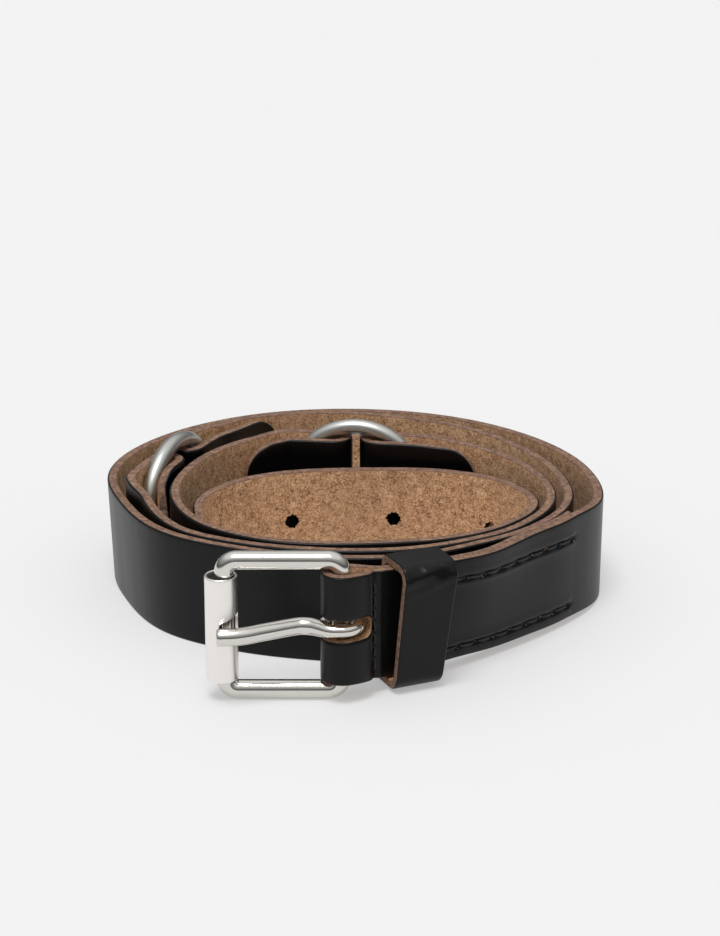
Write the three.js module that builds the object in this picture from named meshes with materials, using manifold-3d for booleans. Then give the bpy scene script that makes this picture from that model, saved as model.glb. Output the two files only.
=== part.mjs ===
// A leather belt of three straps joined by two plain metal rings, with a roller buckle and a keeper loop.
// It lies coiled on its edge in nearly four turns. Millimetres, +Z up, the floor at z = 0.
// The belt is wound from its tip, at the heart of the coil, outwards to the buckle at the front.

import * as THREE from "three";
import { mergeVertices } from "three/addons/utils/BufferGeometryUtils.js";
import Module from "manifold-3d";

// Leather
const strapWidth = 25;
const leather = 2.3;
const tailLeather = 1.2; // the turned-back end, pared thin before it is sewn
const seamGap = 0.3; // between two layers sewn or pressed together
const wallGap = 0.4; // between turns of the coil that touch
const tipRound = 12; // radius of the tip's corners
const tabRound = 7.5; // radius of the corners of each turned-in tab

// Coil
const innerReach = 42; // half width of the innermost turn
const widestGap = 25; // between the second and third turns, at the back
const poleY = -11; // the coil is measured from this point on its front-to-back line
const tipWinding = 2;
const leaveWinding = 1297; // where the outer turn leaves the coil for the buckle

// Punched holes in the tip strap
const holeDiameter = 3.3;
const holeSpacing = 25;
const holeCount = 5;
const tipToHole = 44.9; // from the tip to its first hole

// Rings
const ringWire = 3.8;
const ringInside = 26.4;
const ringSeat = 0.3; // between ring wire and leather
const foldGap = 1.6; // between the two straps folded through one ring

// Buckle
const buckleWire = 4.2;
const buckleReach = 25.2; // between the axes of the two upright bars
const buckleCorner = 2.8; // radius of the wire's middle line at a corner
const strapPlay = 0.4; // above and below the strap inside the frame
const barX = -3.3;
const barY = -66.6;
const doubledLength = 69; // from the bar to the pared end
const doubledTurn = 32; // degrees between the doubled end and the buckle frame
const leavePull = 0.26; // how long the doubled end keeps the coil's way, as a share of its length
const barPull = 0.36; // and the buckle's way
const foldPinch = 11; // from the bar to where the two layers meet
const pareStart = 1; // from the bar to where the turned-back layer starts to thin
const landingRun = 6; // the pared end's last stretch, which lies as low as the coil
const doubledLean = 0.05; // how far its top leans outwards, as a share of its width
const slotReach = 6;
const slotHeight = 5;

// Prong and roller
const prongWire = 3.9;
const eyeWire = 2.7;
const pivotPlay = 0.3;
const prongTip = 1.5; // how far the prong runs past the far bar's axis
const prongBack = 0.4; // from the bar's axis out to the prong's middle line where it bends back
const prongDroop = 0.5; // how far its tip hangs below its eye
const eyeStart = 165; // bearings about the bar between which the eye bends, in degrees
const eyeEnd = -90;
const rollerRadius = 3.55;
const rollerSheet = 0.55;
const rollerHang = 0.65; // how far the loose roller lies outside the bar's axis
const rollerDrop = 0.4;
const notchDepth = 0.4; // how far it runs past the roller's axis
const rollerLength = 24;
const notchPlay = 0.6;
const prongRest = 0.5; // between prong and roller

// Keeper
const keeperLength = 12.5;
const keeperLeather = 1.9;
const keeperPlace = 19.4; // from the bar to the middle of the loop
const keeperSpace = 3.6; // left in front of the strap for the tip
const keeperTurn = -12; // degrees, against the strap
const keeperPlay = 0.35;
const keeperBack = 1.3; // room behind the strap, which lets the loop turn against it
const keeperFloor = 0.7; // under the loop
const keeperRound = 2.6; // radius of its outer corners
const keeperInnerRound = 0.8;

// Where the straps meet the rings
const tabFlat = 3; // the end of a tab that lies flat on its strap
const straightRun = 15.5; // half of the straight run of leather at a ring
const straightFade = 9;
const quarterTurn = 360 / 4; // degrees of winding on each side of a ring in which it can press the coil
const levelShare = 0.12; // the share of a rise that is still level

// Fineness
const roundSides = 12; // of a wire or a hole
const ringSteps = 40;
const ringSides = 10;
const rollerSides = 24;
const bendSteps = 10; // of a strap's fold at a ring
const foldSteps = 12; // of the fold round the bar, and of the prong's eye
const cornerSteps = 6;
const doubledSteps = 24;
const stationDegrees = 4;
const stationClear = 0.5; // the least run between a rounded end and the next station
const bendClear = 1.5; // and between a fold and the next station
const cornerShares = [0, 0.01, 0.05, 0.13, 0.27, 0.45, 0.68, 1]; // stations along a rounded corner
const weld = 1e-4; // corners nearer than this are one

// One row for each sixteenth of a turn, clockwise seen from above, starting at the tip.
// reach is a share of innerReach. second, third and fourth are the free gaps inside each further turn,
// as shares of widestGap. tabs2 and tabs3 say how much of a ring's folded tab lies in that gap, and
// tail4 how much of the pared end.
const turnRows = [
  { reach: 0.873, second: 0.005, tabs2: 0.0, third: 0.065, tabs3: 0.0, fourth: 0.012, tail4: 0 },
  { reach: 0.88, second: 0.112, tabs2: 0.0, third: 0.036, tabs3: 0.48, fourth: 0.034, tail4: 0 },
  { reach: 0.791, second: 0.254, tabs2: 0.0, third: 0.034, tabs3: 1.0, fourth: 0.245, tail4: 0 },
  { reach: 0.669, second: 0.418, tabs2: 0.0, third: 0.105, tabs3: 1.0, fourth: 0.356, tail4: 0 },
  { reach: 0.578, second: 0.265, tabs2: 1.0, third: 0.587, tabs3: 0.3, fourth: 0.173, tail4: 0 },
  { reach: 0.549, second: 0.18, tabs2: 1.0, third: 0.976, tabs3: 0.0, fourth: 0.01, tail4: 0 },
  { reach: 0.595, second: 0.085, tabs2: 1.0, third: 0.86, tabs3: 0.0, fourth: 0.047, tail4: 0 },
  { reach: 0.725, second: 0.115, tabs2: 0.5, third: 0.51, tabs3: 0.0, fourth: 0.143, tail4: 0 },
  { reach: 0.895, second: 0.146, tabs2: 0.0, third: 0.2, tabs3: 0.0, fourth: 0.182, tail4: 0 },
  { reach: 0.985, second: 0.05, tabs2: 0.0, third: 0.04, tabs3: 0.0, fourth: 0.14, tail4: 0 },
  { reach: 0.88, second: 0.02, tabs2: 0.0, third: 0.004, tabs3: 0.0, fourth: 0.0, tail4: 0.8 },
  { reach: 0.752, second: 0.02, tabs2: 0.0, third: 0.004, tabs3: 0.0, fourth: 0.0, tail4: 1 },
  { reach: 0.655, second: 0.08, tabs2: 0.0, third: 0.05, tabs3: 0.0, fourth: 0.0, tail4: 1 },
  { reach: 0.632, second: 0.077, tabs2: 0.0, third: 0.062, tabs3: 0.0, fourth: 0.0, tail4: 1 },
  { reach: 0.686, second: 0.026, tabs2: 0.0, third: 0.046, tabs3: 0.0, fourth: 0.0, tail4: 1 },
  { reach: 0.802, second: 0.004, tabs2: 0.0, third: 0.026, tabs3: 0.0, fourth: 0.0, tail4: 1 },
];
const rowDegrees = 360 / turnRows.length;
const firstBearing = 202.5;

// How far the strap's top leans outwards, as a share of its width, by degrees of winding from the tip.
const leanRows = [
  { winding: 0, lean: 0 },
  { winding: 700, lean: 0 },
  { winding: 745, lean: 0.005 },
  { winding: 800, lean: 0 },
  { winding: 1050, lean: 0 },
  { winding: 1102, lean: 0.045 },
  { winding: 1192, lean: 0.03 },
  { winding: 1260, lean: 0 },
  { winding: leaveWinding, lean: 0.03 },
];

// What follows from the sizes above
const ringRadius = (ringInside + ringWire) / 2;
const ringHeight = ringRadius + ringWire / 2;
const ringLift = ringHeight - strapWidth / 2;
const ringFold = ringWire / 2 + ringSeat + leather / 2;
const tabSpacing = 2 * ringFold;
const buckleRise = (strapWidth + 2 * strapPlay + buckleWire) / 2;
const buckleHeight = buckleRise + buckleWire / 2;
const buckleLift = buckleHeight - strapWidth / 2;
const barFold = buckleWire / 2 + pivotPlay + leather / 2;
const keeperLift = keeperLeather + keeperPlay + keeperFloor;

// The straps' stops at the rings: where each lies, how far it presses the coil in, and on the tip's and the
// buckle's side how far the lift that it gives reaches and how long the folded tab is
const ringStops = [
  {
    name: "ring_2",
    winding: 472.8,
    press: 0.2,
    tipRise: 120,
    buckleRise: 90,
    tipTab: 33.3,
    buckleTab: 32.2,
  },
  {
    name: "ring_1",
    winding: 769.5,
    press: 1.3,
    tipRise: 48,
    buckleRise: 80,
    tipTab: 23.5,
    buckleTab: 42,
  },
];

const wasm = await Module();
wasm.setup();

const { clamp, degToRad, lerp, smoothstep } = THREE.MathUtils;

const finish = (color, roughness, metalness) =>
  new THREE.MeshStandardMaterial({ color, roughness, metalness });
const leatherMaterial = () => finish(0x1b1a1b, 0.42, 0);
const steelMaterial = () => finish(0xd6d5d2, 0.24, 1);
const rollerMaterial = () => finish(0xe2dfdc, 0.32, 1);

function named(name, geometry, material) {
  const mesh = new THREE.Mesh(geometry, material);
  mesh.name = name;
  return mesh;
}

// Merges shared corners and turns the faces outwards, so that the body is closed and solid
function closedBody(positions, triangles) {
  const geometry = new THREE.BufferGeometry();
  geometry.setAttribute("position", new THREE.Float32BufferAttribute(positions, 3));
  geometry.setIndex(triangles);
  const merged = mergeVertices(geometry, weld);
  const corner = [new THREE.Vector3(), new THREE.Vector3(), new THREE.Vector3()];
  const index = merged.index.array;
  const place = merged.attributes.position;
  let volume = 0;
  for (let i = 0; i < index.length; i += 3) {
    corner.forEach((point, k) => point.fromBufferAttribute(place, index[i + k]));
    volume += corner[0].dot(corner[1].cross(corner[2]));
  }
  if (volume < 0) {
    for (let i = 0; i < index.length; i += 3) {
      [index[i + 1], index[i + 2]] = [index[i + 2], index[i + 1]];
    }
  }
  return merged;
}

function toManifold(geometry) {
  const bare = geometry.clone();
  bare.deleteAttribute("normal");
  bare.deleteAttribute("uv");
  const merged = mergeVertices(bare, weld);
  const vertProperties = new Float32Array(merged.attributes.position.array);
  const triVerts = new Uint32Array(merged.index.array);
  return new wasm.Manifold(new wasm.Mesh({ numProp: 3, vertProperties, triVerts }));
}

function fromManifold(solid) {
  const mesh = solid.getMesh();
  const geometry = new THREE.BufferGeometry();
  geometry.setAttribute("position", new THREE.Float32BufferAttribute(mesh.vertProperties, 3));
  geometry.setIndex(Array.from(mesh.triVerts));
  return geometry;
}

// Joins rings of corners, one ring for each station, into a body. An open one gets flat ends.
function loft(rings, closed) {
  const sides = rings[0].length;
  const positions = rings.flat().flatMap((point) => [point.x, point.y, point.z]);
  const triangles = [];
  const last = closed ? rings.length : rings.length - 1;
  for (let i = 0; i < last; i += 1) {
    const here = i * sides;
    const next = ((i + 1) % rings.length) * sides;
    for (let k = 0; k < sides; k += 1) {
      const k1 = (k + 1) % sides;
      triangles.push(here + k, here + k1, next + k1, here + k, next + k1, next + k);
    }
  }
  if (!closed) {
    const end = (rings.length - 1) * sides;
    for (let k = 1; k < sides - 1; k += 1) {
      triangles.push(0, k + 1, k, end, end + k, end + k + 1);
    }
  }
  return closedBody(positions, triangles);
}

// Reach of the coil at each row of each turn: every turn lies outside the last by the leather and the gap
function windingReaches() {
  const reaches = turnRows.map((row) => row.reach * innerReach);
  const slope = (i) => {
    const before = reaches[Math.max(i - 1, 0)];
    const run = i === 0 ? 1 : 2;
    return (before - reaches[i + 1]) / (run * degToRad(rowDegrees));
  };
  const turns = [
    { gap: "second", tabs: "tabs2" },
    { gap: "third", tabs: "tabs3" },
    { gap: "fourth", tail: "tail4" },
  ];
  for (const turn of turns) {
    for (const row of turnRows) {
      const inner = reaches.length - turnRows.length;
      const tabRoom = turn.tabs ? row[turn.tabs] * tabSpacing : 0;
      const tailRoom = turn.tail ? row[turn.tail] * (tailLeather + seamGap) : 0;
      const pitch = leather + wallGap + row[turn.gap] * widestGap + tabRoom + tailRoom;
      reaches.push(reaches[inner] + pitch * Math.hypot(1, slope(inner) / reaches[inner]));
    }
  }
  return reaches;
}

const reaches = windingReaches();

// The strap's middle line on the floor at a winding, as a smooth curve through the rows
function windingPoint(winding) {
  const place = winding / rowDegrees;
  const i = clamp(Math.floor(place), 0, reaches.length - 2);
  const t = place - i;
  const at = (k) => reaches[clamp(k, 0, reaches.length - 1)];
  const before = (at(i + 1) - at(i - 1)) / 2;
  const after = (at(i + 2) - at(i)) / 2;
  const reach =
    (2 * t ** 3 - 3 * t ** 2 + 1) * at(i) +
    (t ** 3 - 2 * t ** 2 + t) * before +
    (3 * t ** 2 - 2 * t ** 3) * at(i + 1) +
    (t ** 3 - t ** 2) * after;
  const bearing = degToRad(firstBearing - winding);
  return new THREE.Vector2(reach * Math.cos(bearing), poleY + reach * Math.sin(bearing));
}

// At a ring: the middle line's point, its direction towards the buckle, and the way out of the coil
const stops = ringStops.map((stop) => {
  const along = windingPoint(stop.winding + 1).sub(windingPoint(stop.winding - 1)).normalize();
  const out = new THREE.Vector2(-along.y, along.x);
  const place = windingPoint(stop.winding).addScaledVector(out, -stop.press);
  return { ...stop, place, along, out };
});

// The coil's middle line, pressed straight where a ring holds it
function coilPoint(winding) {
  const point = windingPoint(winding);
  for (const stop of stops) {
    if (Math.abs(winding - stop.winding) < quarterTurn) {
      const from = point.clone().sub(stop.place);
      const run = Math.abs(from.dot(stop.along));
      const share = 1 - smoothstep(run, straightRun, straightRun + straightFade);
      point.addScaledVector(stop.out, -from.dot(stop.out) * share);
    }
  }
  return point;
}

function leanAt(winding) {
  const i = Math.max(leanRows.findIndex((row) => row.winding >= winding), 1);
  const [low, high] = [leanRows[i - 1], leanRows[i]];
  return lerp(low.lean, high.lean, smoothstep(winding, low.winding, high.winding));
}

// Stations along the coil, each with its point, winding and distance from the tip
function coilStations() {
  const stations = [];
  for (let winding = tipWinding; winding < leaveWinding; winding += stationDegrees) {
    stations.push({ winding, point: coilPoint(winding) });
  }
  stations.push({ winding: leaveWinding, point: coilPoint(leaveWinding) });
  stations.forEach((station, i) => {
    station.run = i ? stations[i - 1].run + station.point.distanceTo(stations[i - 1].point) : 0;
  });
  return stations;
}

const coil = coilStations();

function runAt(winding) {
  const i = coil.findIndex((station) => station.winding >= winding);
  const [low, high] = [coil[i - 1], coil[i]];
  return lerp(low.run, high.run, (winding - low.winding) / (high.winding - low.winding));
}

for (const stop of stops) {
  stop.run = runAt(stop.winding);
}

// Each ring stands on the floor and holds the strap up, and the strap comes down on both sides of it
function liftAt(run) {
  const lifts = stops.map((stop) => {
    const away = run - stop.run;
    const reach = away < 0 ? stop.tipRise : stop.buckleRise;
    return ringLift * (1 - smoothstep(Math.abs(away), levelShare * reach, reach));
  });
  return Math.max(...lifts);
}

for (const station of coil) {
  station.lift = liftAt(station.run);
  station.lean = leanAt(station.winding);
  station.thick = leather;
}

// The outward normal of each station of a polyline, to the left of its way
function addNormals(stations) {
  stations.forEach((station, i) => {
    const before = stations[Math.max(i - 1, 0)].point;
    const after = stations[Math.min(i + 1, stations.length - 1)].point;
    const along = after.clone().sub(before).normalize();
    station.normal = new THREE.Vector2(-along.y, along.x);
  });
  return stations;
}

// A station between two others
function between(low, high, share) {
  return {
    point: low.point.clone().lerp(high.point, share),
    normal: low.normal.clone().lerp(high.normal, share).normalize(),
    lift: lerp(low.lift, high.lift, share),
    lean: lerp(low.lean, high.lean, share),
    thick: lerp(low.thick, high.thick, share),
    run: lerp(low.run, high.run, share),
  };
}

// Half the strap's width at a distance from an end with rounded corners
function halfWidth(away, round) {
  const flat = strapWidth / 2 - round;
  const inside = clamp(round - away, 0, round);
  return flat + Math.sqrt(round ** 2 - inside ** 2);
}

// The stations of a rounded end, taken close together where the corner curves
function roundEnd(stations, round) {
  const runs = [0];
  for (let i = 1; i < stations.length; i += 1) {
    runs.push(runs[i - 1] + stations[i].point.distanceTo(stations[i - 1].point));
  }
  const ends = cornerShares.map((cornerShare) => {
    const away = cornerShare * round;
    const i = Math.max(runs.findIndex((run) => run >= away), 1);
    const share = (away - runs[i - 1]) / (runs[i] - runs[i - 1]);
    return { ...between(stations[i - 1], stations[i], share), half: halfWidth(away, round) };
  });
  return [...ends, ...stations.filter((_, i) => runs[i] > round + stationClear)];
}

// A band of leather through stations: thickness along the normal, width upright and leaning
function band(stations) {
  const rings = stations.map((station) => {
    const half = station.half ?? strapWidth / 2;
    const middle = station.lift + strapWidth / 2;
    return [
      [1, -half],
      [1, half],
      [-1, half],
      [-1, -half],
    ].map(([side, up]) => {
      const shift = (side * station.thick) / 2 + station.lean * (up + strapWidth / 2);
      const point = station.point.clone().addScaledVector(station.normal, shift);
      return new THREE.Vector3(point.x, point.y, middle + up);
    });
  });
  return loft(rings, false);
}

// A strap's end at a ring: past the wire, through the ring, and back as a tab that closes on the strap.
// side is 1 for the strap that comes from the tip's side and -1 for the one from the buckle's side.
function hook(stop, side, tabLength) {
  const turnAt = foldGap / 2 + ringFold + leather / 2;
  const fromRing = (point) => point.clone().sub(stop.place).dot(stop.along) * -side;
  const ours = coil.filter((station) => (stop.winding - station.winding) * side > 0);
  const towardsRing = side > 0 ? ours : ours.reverse();
  const far = towardsRing.filter((station) => {
    const pressed = Math.abs(station.winding - stop.winding) < quarterTurn;
    return !pressed || fromRing(station.point) > turnAt + bendClear;
  });
  const shape = { lift: ringLift, lean: 0, thick: leather };
  const local = (along, out) =>
    stop.place.clone().addScaledVector(stop.along, -side * along).addScaledVector(stop.out, out);
  const bend = [];
  for (let i = 0; i <= bendSteps; i += 1) {
    const angle = (Math.PI * i) / bendSteps;
    const point = local(turnAt - ringFold * Math.sin(angle), -ringFold * (1 - Math.cos(angle)));
    bend.push({ ...shape, point });
  }
  addNormals(far);
  const ringSide = ringRadius + ringWire / 2 + ringSeat;
  const runFromRing = (station) => Math.abs(station.run - stop.run);
  const back = [...far].reverse();
  const count = back.findIndex((station) => runFromRing(station) > tabLength);
  const [low, high] = [back[count - 1], back[count]];
  const last = between(low, high, (tabLength - runFromRing(low)) / (runFromRing(high) - runFromRing(low)));
  const tab = [...back.slice(0, count), last].map((station) => {
    const inside = (offset) => station.point.clone().addScaledVector(station.normal, -side * offset);
    const close = smoothstep(fromRing(inside(tabSpacing)), ringSide, tabLength - tabFlat);
    return { ...station, point: inside(lerp(tabSpacing, leather + seamGap, close)) };
  });
  return { far, bend, tab };
}

const [innerStop, outerStop] = stops;

// The tip strap, from its tip to the inner ring
function tipStations() {
  const end = hook(innerStop, 1, innerStop.tipTab);
  const start = roundEnd(addNormals([...end.far, ...end.bend, ...end.tab]), tipRound);
  return roundEnd(start.reverse(), tabRound).reverse();
}

// The middle strap, from the inner ring to the outer one
function middleStations() {
  const start = hook(innerStop, -1, innerStop.buckleTab);
  const end = hook(outerStop, 1, outerStop.tipTab);
  const halfway = (innerStop.winding + outerStop.winding) / 2;
  const stations = [
    ...start.tab.reverse(),
    ...start.bend.reverse(),
    ...start.far.filter((station) => station.winding < halfway).reverse(),
    ...end.far.filter((station) => station.winding >= halfway),
    ...end.bend,
    ...end.tab,
  ];
  const rounded = roundEnd(addNormals(stations), tabRound);
  return roundEnd(rounded.reverse(), tabRound).reverse();
}

// The doubled end's middle line, from where the outer turn leaves the coil to the buckle's bar
const bar = new THREE.Vector2(barX, barY);
const doubledAlong = new THREE.Vector2(Math.cos(degToRad(doubledTurn)), Math.sin(degToRad(doubledTurn)));

function doubledLine() {
  const [before, last] = coil.slice(-2);
  const along = last.point.clone().sub(before.point).normalize();
  const normal = new THREE.Vector2(-along.y, along.x);
  const start = last.point.clone().addScaledVector(normal, -(leather + seamGap) / 2);
  const length = start.distanceTo(bar);
  const curve = new THREE.CubicBezierCurve(
    start,
    start.clone().addScaledVector(along, leavePull * length),
    bar.clone().addScaledVector(doubledAlong, barPull * length),
    bar,
  );
  return curve.getSpacedPoints(doubledSteps);
}

// How high the doubled end is carried at a distance from the bar
function doubledLift(away) {
  const high = lerp(buckleLift, keeperLift, smoothstep(away, 0, keeperPlace - keeperLength / 2));
  return high * (1 - smoothstep(away, keeperPlace + keeperLength / 2, doubledLength - landingRun));
}

// The buckle strap, from the outer ring round the coil, round the bar and back to the pared end
function buckleStations() {
  const start = hook(outerStop, -1, outerStop.buckleTab);
  const line = doubledLine();
  const runs = [0];
  for (let i = line.length - 2; i >= 0; i -= 1) {
    runs.unshift(runs[0] + line[i].distanceTo(line[i + 1]));
  }
  const middle = addNormals(line.map((point, i) => ({ point, away: runs[i] })));
  const layer = (station, side) => {
    const open = 1 - smoothstep(station.away, levelShare * foldPinch, foldPinch);
    const pared = side < 0 ? smoothstep(station.away, pareStart, foldPinch) : 0;
    const thick = lerp(leather, tailLeather, pared);
    const offset = lerp((thick + seamGap) / 2, barFold, open);
    return {
      point: station.point.clone().addScaledVector(station.normal, side * offset),
      lift: doubledLift(station.away),
      lean: side * doubledLean * smoothstep(station.away, foldPinch, keeperPlace + keeperLength),
      thick,
    };
  };
  const front = middle.slice(1, -1).map((station) => layer(station, 1));
  const back = middle.slice(1, -1).reverse().map((station) => layer(station, -1));
  const fold = [];
  const out = new THREE.Vector2(doubledAlong.y, -doubledAlong.x);
  for (let i = 0; i <= foldSteps; i += 1) {
    const angle = (Math.PI * i) / foldSteps;
    const point = bar
      .clone()
      .addScaledVector(out, barFold * Math.cos(angle))
      .addScaledVector(doubledAlong, -barFold * Math.sin(angle));
    fold.push({ point, lift: buckleLift, lean: 0, thick: leather });
  }
  const coilEnd = coil.at(-1).run;
  const inwards = -(leather / 2 + seamGap + tailLeather / 2);
  const tail = addNormals(coil)
    .filter((station) => station.run < coilEnd && station.run > coilEnd + runs[0] - doubledLength)
    .reverse()
    .map((station) => ({
      ...station,
      point: station.point.clone().addScaledVector(station.normal, inwards),
      lean: -station.lean,
      thick: tailLeather,
    }));
  const stations = [
    ...start.tab.reverse(),
    ...start.bend.reverse(),
    ...start.far.reverse(),
    ...front,
    ...fold,
    ...back,
    ...tail,
  ];
  return roundEnd(addNormals(stations), tabRound);
}

// Round holes through the tip strap, in a row from the tip
function punchedTip() {
  let solid = toManifold(band(tipStations()));
  for (let i = 0; i < holeCount; i += 1) {
    const run = tipToHole + i * holeSpacing;
    const k = coil.findIndex((station) => station.run >= run);
    const [low, high] = [coil[k - 1], coil[k]];
    const share = (run - low.run) / (high.run - low.run);
    const point = low.point.clone().lerp(high.point, share);
    const along = high.point.clone().sub(low.point).normalize();
    const radius = holeDiameter / 2;
    const punch = new THREE.CylinderGeometry(radius, radius, 4 * leather, roundSides);
    punch.rotateZ(Math.atan2(along.y, along.x));
    punch.translate(point.x, point.y, strapWidth / 2 + lerp(low.lift, high.lift, share));
    solid = solid.subtract(toManifold(punch));
  }
  return fromManifold(solid);
}

// The slot that lets the prong through the fold, cut through both layers
function slottedBuckleStrap() {
  const outline = new THREE.Shape();
  const half = slotHeight / 2;
  const back = -barFold - leather;
  outline.moveTo(back, -half);
  outline.lineTo(slotReach - half, -half);
  outline.absarc(slotReach - half, 0, half, -Math.PI / 2, Math.PI / 2, false);
  outline.lineTo(back, half);
  outline.closePath();
  const depth = 2 * (barFold + leather);
  const slot = new THREE.ExtrudeGeometry(outline, { depth, bevelEnabled: false, curveSegments: roundSides });
  slot.translate(0, 0, -depth / 2);
  slot.rotateX(Math.PI / 2);
  slot.rotateZ(degToRad(doubledTurn));
  slot.translate(barX, barY, buckleHeight);
  return fromManifold(toManifold(band(buckleStations())).subtract(toManifold(slot)));
}

function closedTorus(radius, wire) {
  const torus = new THREE.TorusGeometry(radius, wire, ringSides, ringSteps);
  torus.deleteAttribute("normal");
  torus.deleteAttribute("uv");
  return mergeVertices(torus, weld);
}

// A ring that stands on the floor between the strap and its folded tabs
function ringMesh(stop) {
  const mesh = named(stop.name, closedTorus(ringRadius, ringWire / 2), steelMaterial());
  const centre = stop.place.clone().addScaledVector(stop.out, -ringFold);
  mesh.position.set(centre.x, centre.y, ringHeight);
  mesh.rotation.set(Math.PI / 2, 0, Math.atan2(stop.along.y, stop.along.x), "ZXY");
  return mesh;
}

// A round wire along a flat path: each ring of corners stands square to the path
function wire(path, across, radiusAt, closed) {
  const rings = path.map((point, i) => {
    const before = closed ? path[(i + path.length - 1) % path.length] : path[Math.max(i - 1, 0)];
    const after = closed ? path[(i + 1) % path.length] : path[Math.min(i + 1, path.length - 1)];
    const along = after.clone().sub(before).normalize();
    const side = along.cross(across).normalize();
    const radius = radiusAt(i);
    return Array.from({ length: roundSides }, (_, k) => {
      const angle = (2 * Math.PI * k) / roundSides;
      return point
        .clone()
        .addScaledVector(side, radius * Math.cos(angle))
        .addScaledVector(across, radius * Math.sin(angle));
    });
  });
  return loft(rings, closed);
}

// The frame's middle line about the bar: an upright rectangle with round corners, from the bar to -X
function frameGeometry() {
  const path = [];
  const corners = [
    { x: -buckleCorner, z: buckleRise - buckleCorner, start: 0 },
    { x: buckleCorner - buckleReach, z: buckleRise - buckleCorner, start: 90 },
    { x: buckleCorner - buckleReach, z: buckleCorner - buckleRise, start: 180 },
    { x: -buckleCorner, z: buckleCorner - buckleRise, start: 270 },
  ];
  for (const corner of corners) {
    for (let i = 0; i <= cornerSteps; i += 1) {
      const angle = degToRad(corner.start + (90 * i) / cornerSteps);
      const x = corner.x + buckleCorner * Math.cos(angle);
      const z = corner.z + buckleCorner * Math.sin(angle);
      path.push(new THREE.Vector3(x, 0, z));
    }
  }
  return wire(path, new THREE.Vector3(0, 1, 0), () => buckleWire / 2, true);
}

// The prong's middle line about the bar: an eye round it, a bend back, and a straight run to the roller
function prongGeometry() {
  const eye = buckleWire / 2 + pivotPlay + eyeWire / 2;
  const front = rollerRadius + prongRest + prongWire / 2;
  const end = -buckleReach - prongTip;
  const path = [];
  const radii = [];
  for (let i = 0; i <= foldSteps; i += 1) {
    const angle = degToRad(lerp(eyeStart, eyeEnd, i / foldSteps));
    path.push(new THREE.Vector3(eye * Math.cos(angle), eye * Math.sin(angle), 0));
    radii.push(eyeWire / 2);
  }
  const shankRows = [
    { share: 0.1, rise: 0.54, swell: 0.3 },
    { share: 0.17, rise: 0.29, swell: 0.75 },
    { share: 0.25, rise: 0.05, swell: 1 },
    { share: 0.33, rise: 0, swell: 1 },
    { share: 0.42, rise: 0.14, swell: 1 },
    { share: 0.54, rise: 0.39, swell: 1 },
    { share: 0.66, rise: 0.64, swell: 1 },
    { share: 0.76, rise: 0.86, swell: 1 },
    { share: 0.86, rise: 0.98, swell: 1 },
    { share: 1, rise: 1, swell: 0.94 },
  ];
  for (const row of shankRows) {
    const out = -lerp(prongBack, front, row.rise);
    path.push(new THREE.Vector3(end * row.share, out, -prongDroop * row.share ** 2));
    radii.push(lerp(eyeWire, prongWire, row.swell) / 2);
  }
  return wire(path, new THREE.Vector3(0, 0, 1), (i) => radii[i], false);
}

// The roller: a tube of sheet metal on the far bar, notched where the prong's end lies in it
function rollerGeometry() {
  const inside = rollerRadius - rollerSheet;
  const half = rollerLength / 2;
  const profile = [
    new THREE.Vector2(inside, -half),
    new THREE.Vector2(rollerRadius, -half),
    new THREE.Vector2(rollerRadius, half),
    new THREE.Vector2(inside, half),
    new THREE.Vector2(inside, -half),
  ];
  const tube = new THREE.LatheGeometry(profile, rollerSides);
  tube.rotateX(Math.PI / 2);
  const notchHeight = prongWire + 2 * notchPlay;
  const notch = new THREE.BoxGeometry(4 * rollerRadius, 2 * rollerRadius, notchHeight);
  notch.translate(2 * rollerRadius - notchDepth, -rollerRadius, rollerDrop - prongDroop);
  const body = closedBody(tube.attributes.position.array, Array.from(tube.index.array));
  return fromManifold(toManifold(body).subtract(toManifold(notch)));
}

// The keeper: a loop of thin leather round both layers, with room in front for the belt's tip
function keeperMesh() {
  const ring = (grow, round) => {
    const shape = new THREE.Path();
    const top = strapWidth / 2 + keeperPlay + grow;
    const front = seamGap / 2 + leather + keeperSpace + grow;
    const back = seamGap / 2 + tailLeather + keeperPlay + keeperBack + grow;
    shape.moveTo(-front + round, -top);
    shape.lineTo(back - round, -top);
    shape.absarc(back - round, -top + round, round, -Math.PI / 2, 0, false);
    shape.lineTo(back, top - round);
    shape.absarc(back - round, top - round, round, 0, Math.PI / 2, false);
    shape.lineTo(-front + round, top);
    shape.absarc(-front + round, top - round, round, Math.PI / 2, Math.PI, false);
    shape.lineTo(-front, -top + round);
    shape.absarc(-front + round, -top + round, round, Math.PI, 1.5 * Math.PI, false);
    return shape;
  };
  const outline = new THREE.Shape(ring(keeperLeather, keeperRound).getPoints(cornerSteps));
  outline.holes.push(new THREE.Path(ring(0, keeperInnerRound).getPoints(cornerSteps / 2)));
  const geometry = new THREE.ExtrudeGeometry(outline, { depth: keeperLength, bevelEnabled: false });
  geometry.translate(0, 0, -keeperLength / 2);
  geometry.rotateX(Math.PI / 2);
  geometry.rotateZ(Math.PI / 2);
  const mesh = named("keeper_loop", geometry, leatherMaterial());
  const line = doubledLine().reverse();
  let run = 0;
  let k = 1;
  while (run + line[k].distanceTo(line[k - 1]) < keeperPlace) {
    run += line[k].distanceTo(line[k - 1]);
    k += 1;
  }
  const along = line[k].clone().sub(line[k - 1]).normalize();
  const place = line[k - 1].clone().addScaledVector(along, keeperPlace - run);
  mesh.position.set(place.x, place.y, doubledLift(keeperPlace) + strapWidth / 2);
  mesh.rotation.z = Math.atan2(along.y, along.x) + degToRad(keeperTurn);
  return mesh;
}

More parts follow.
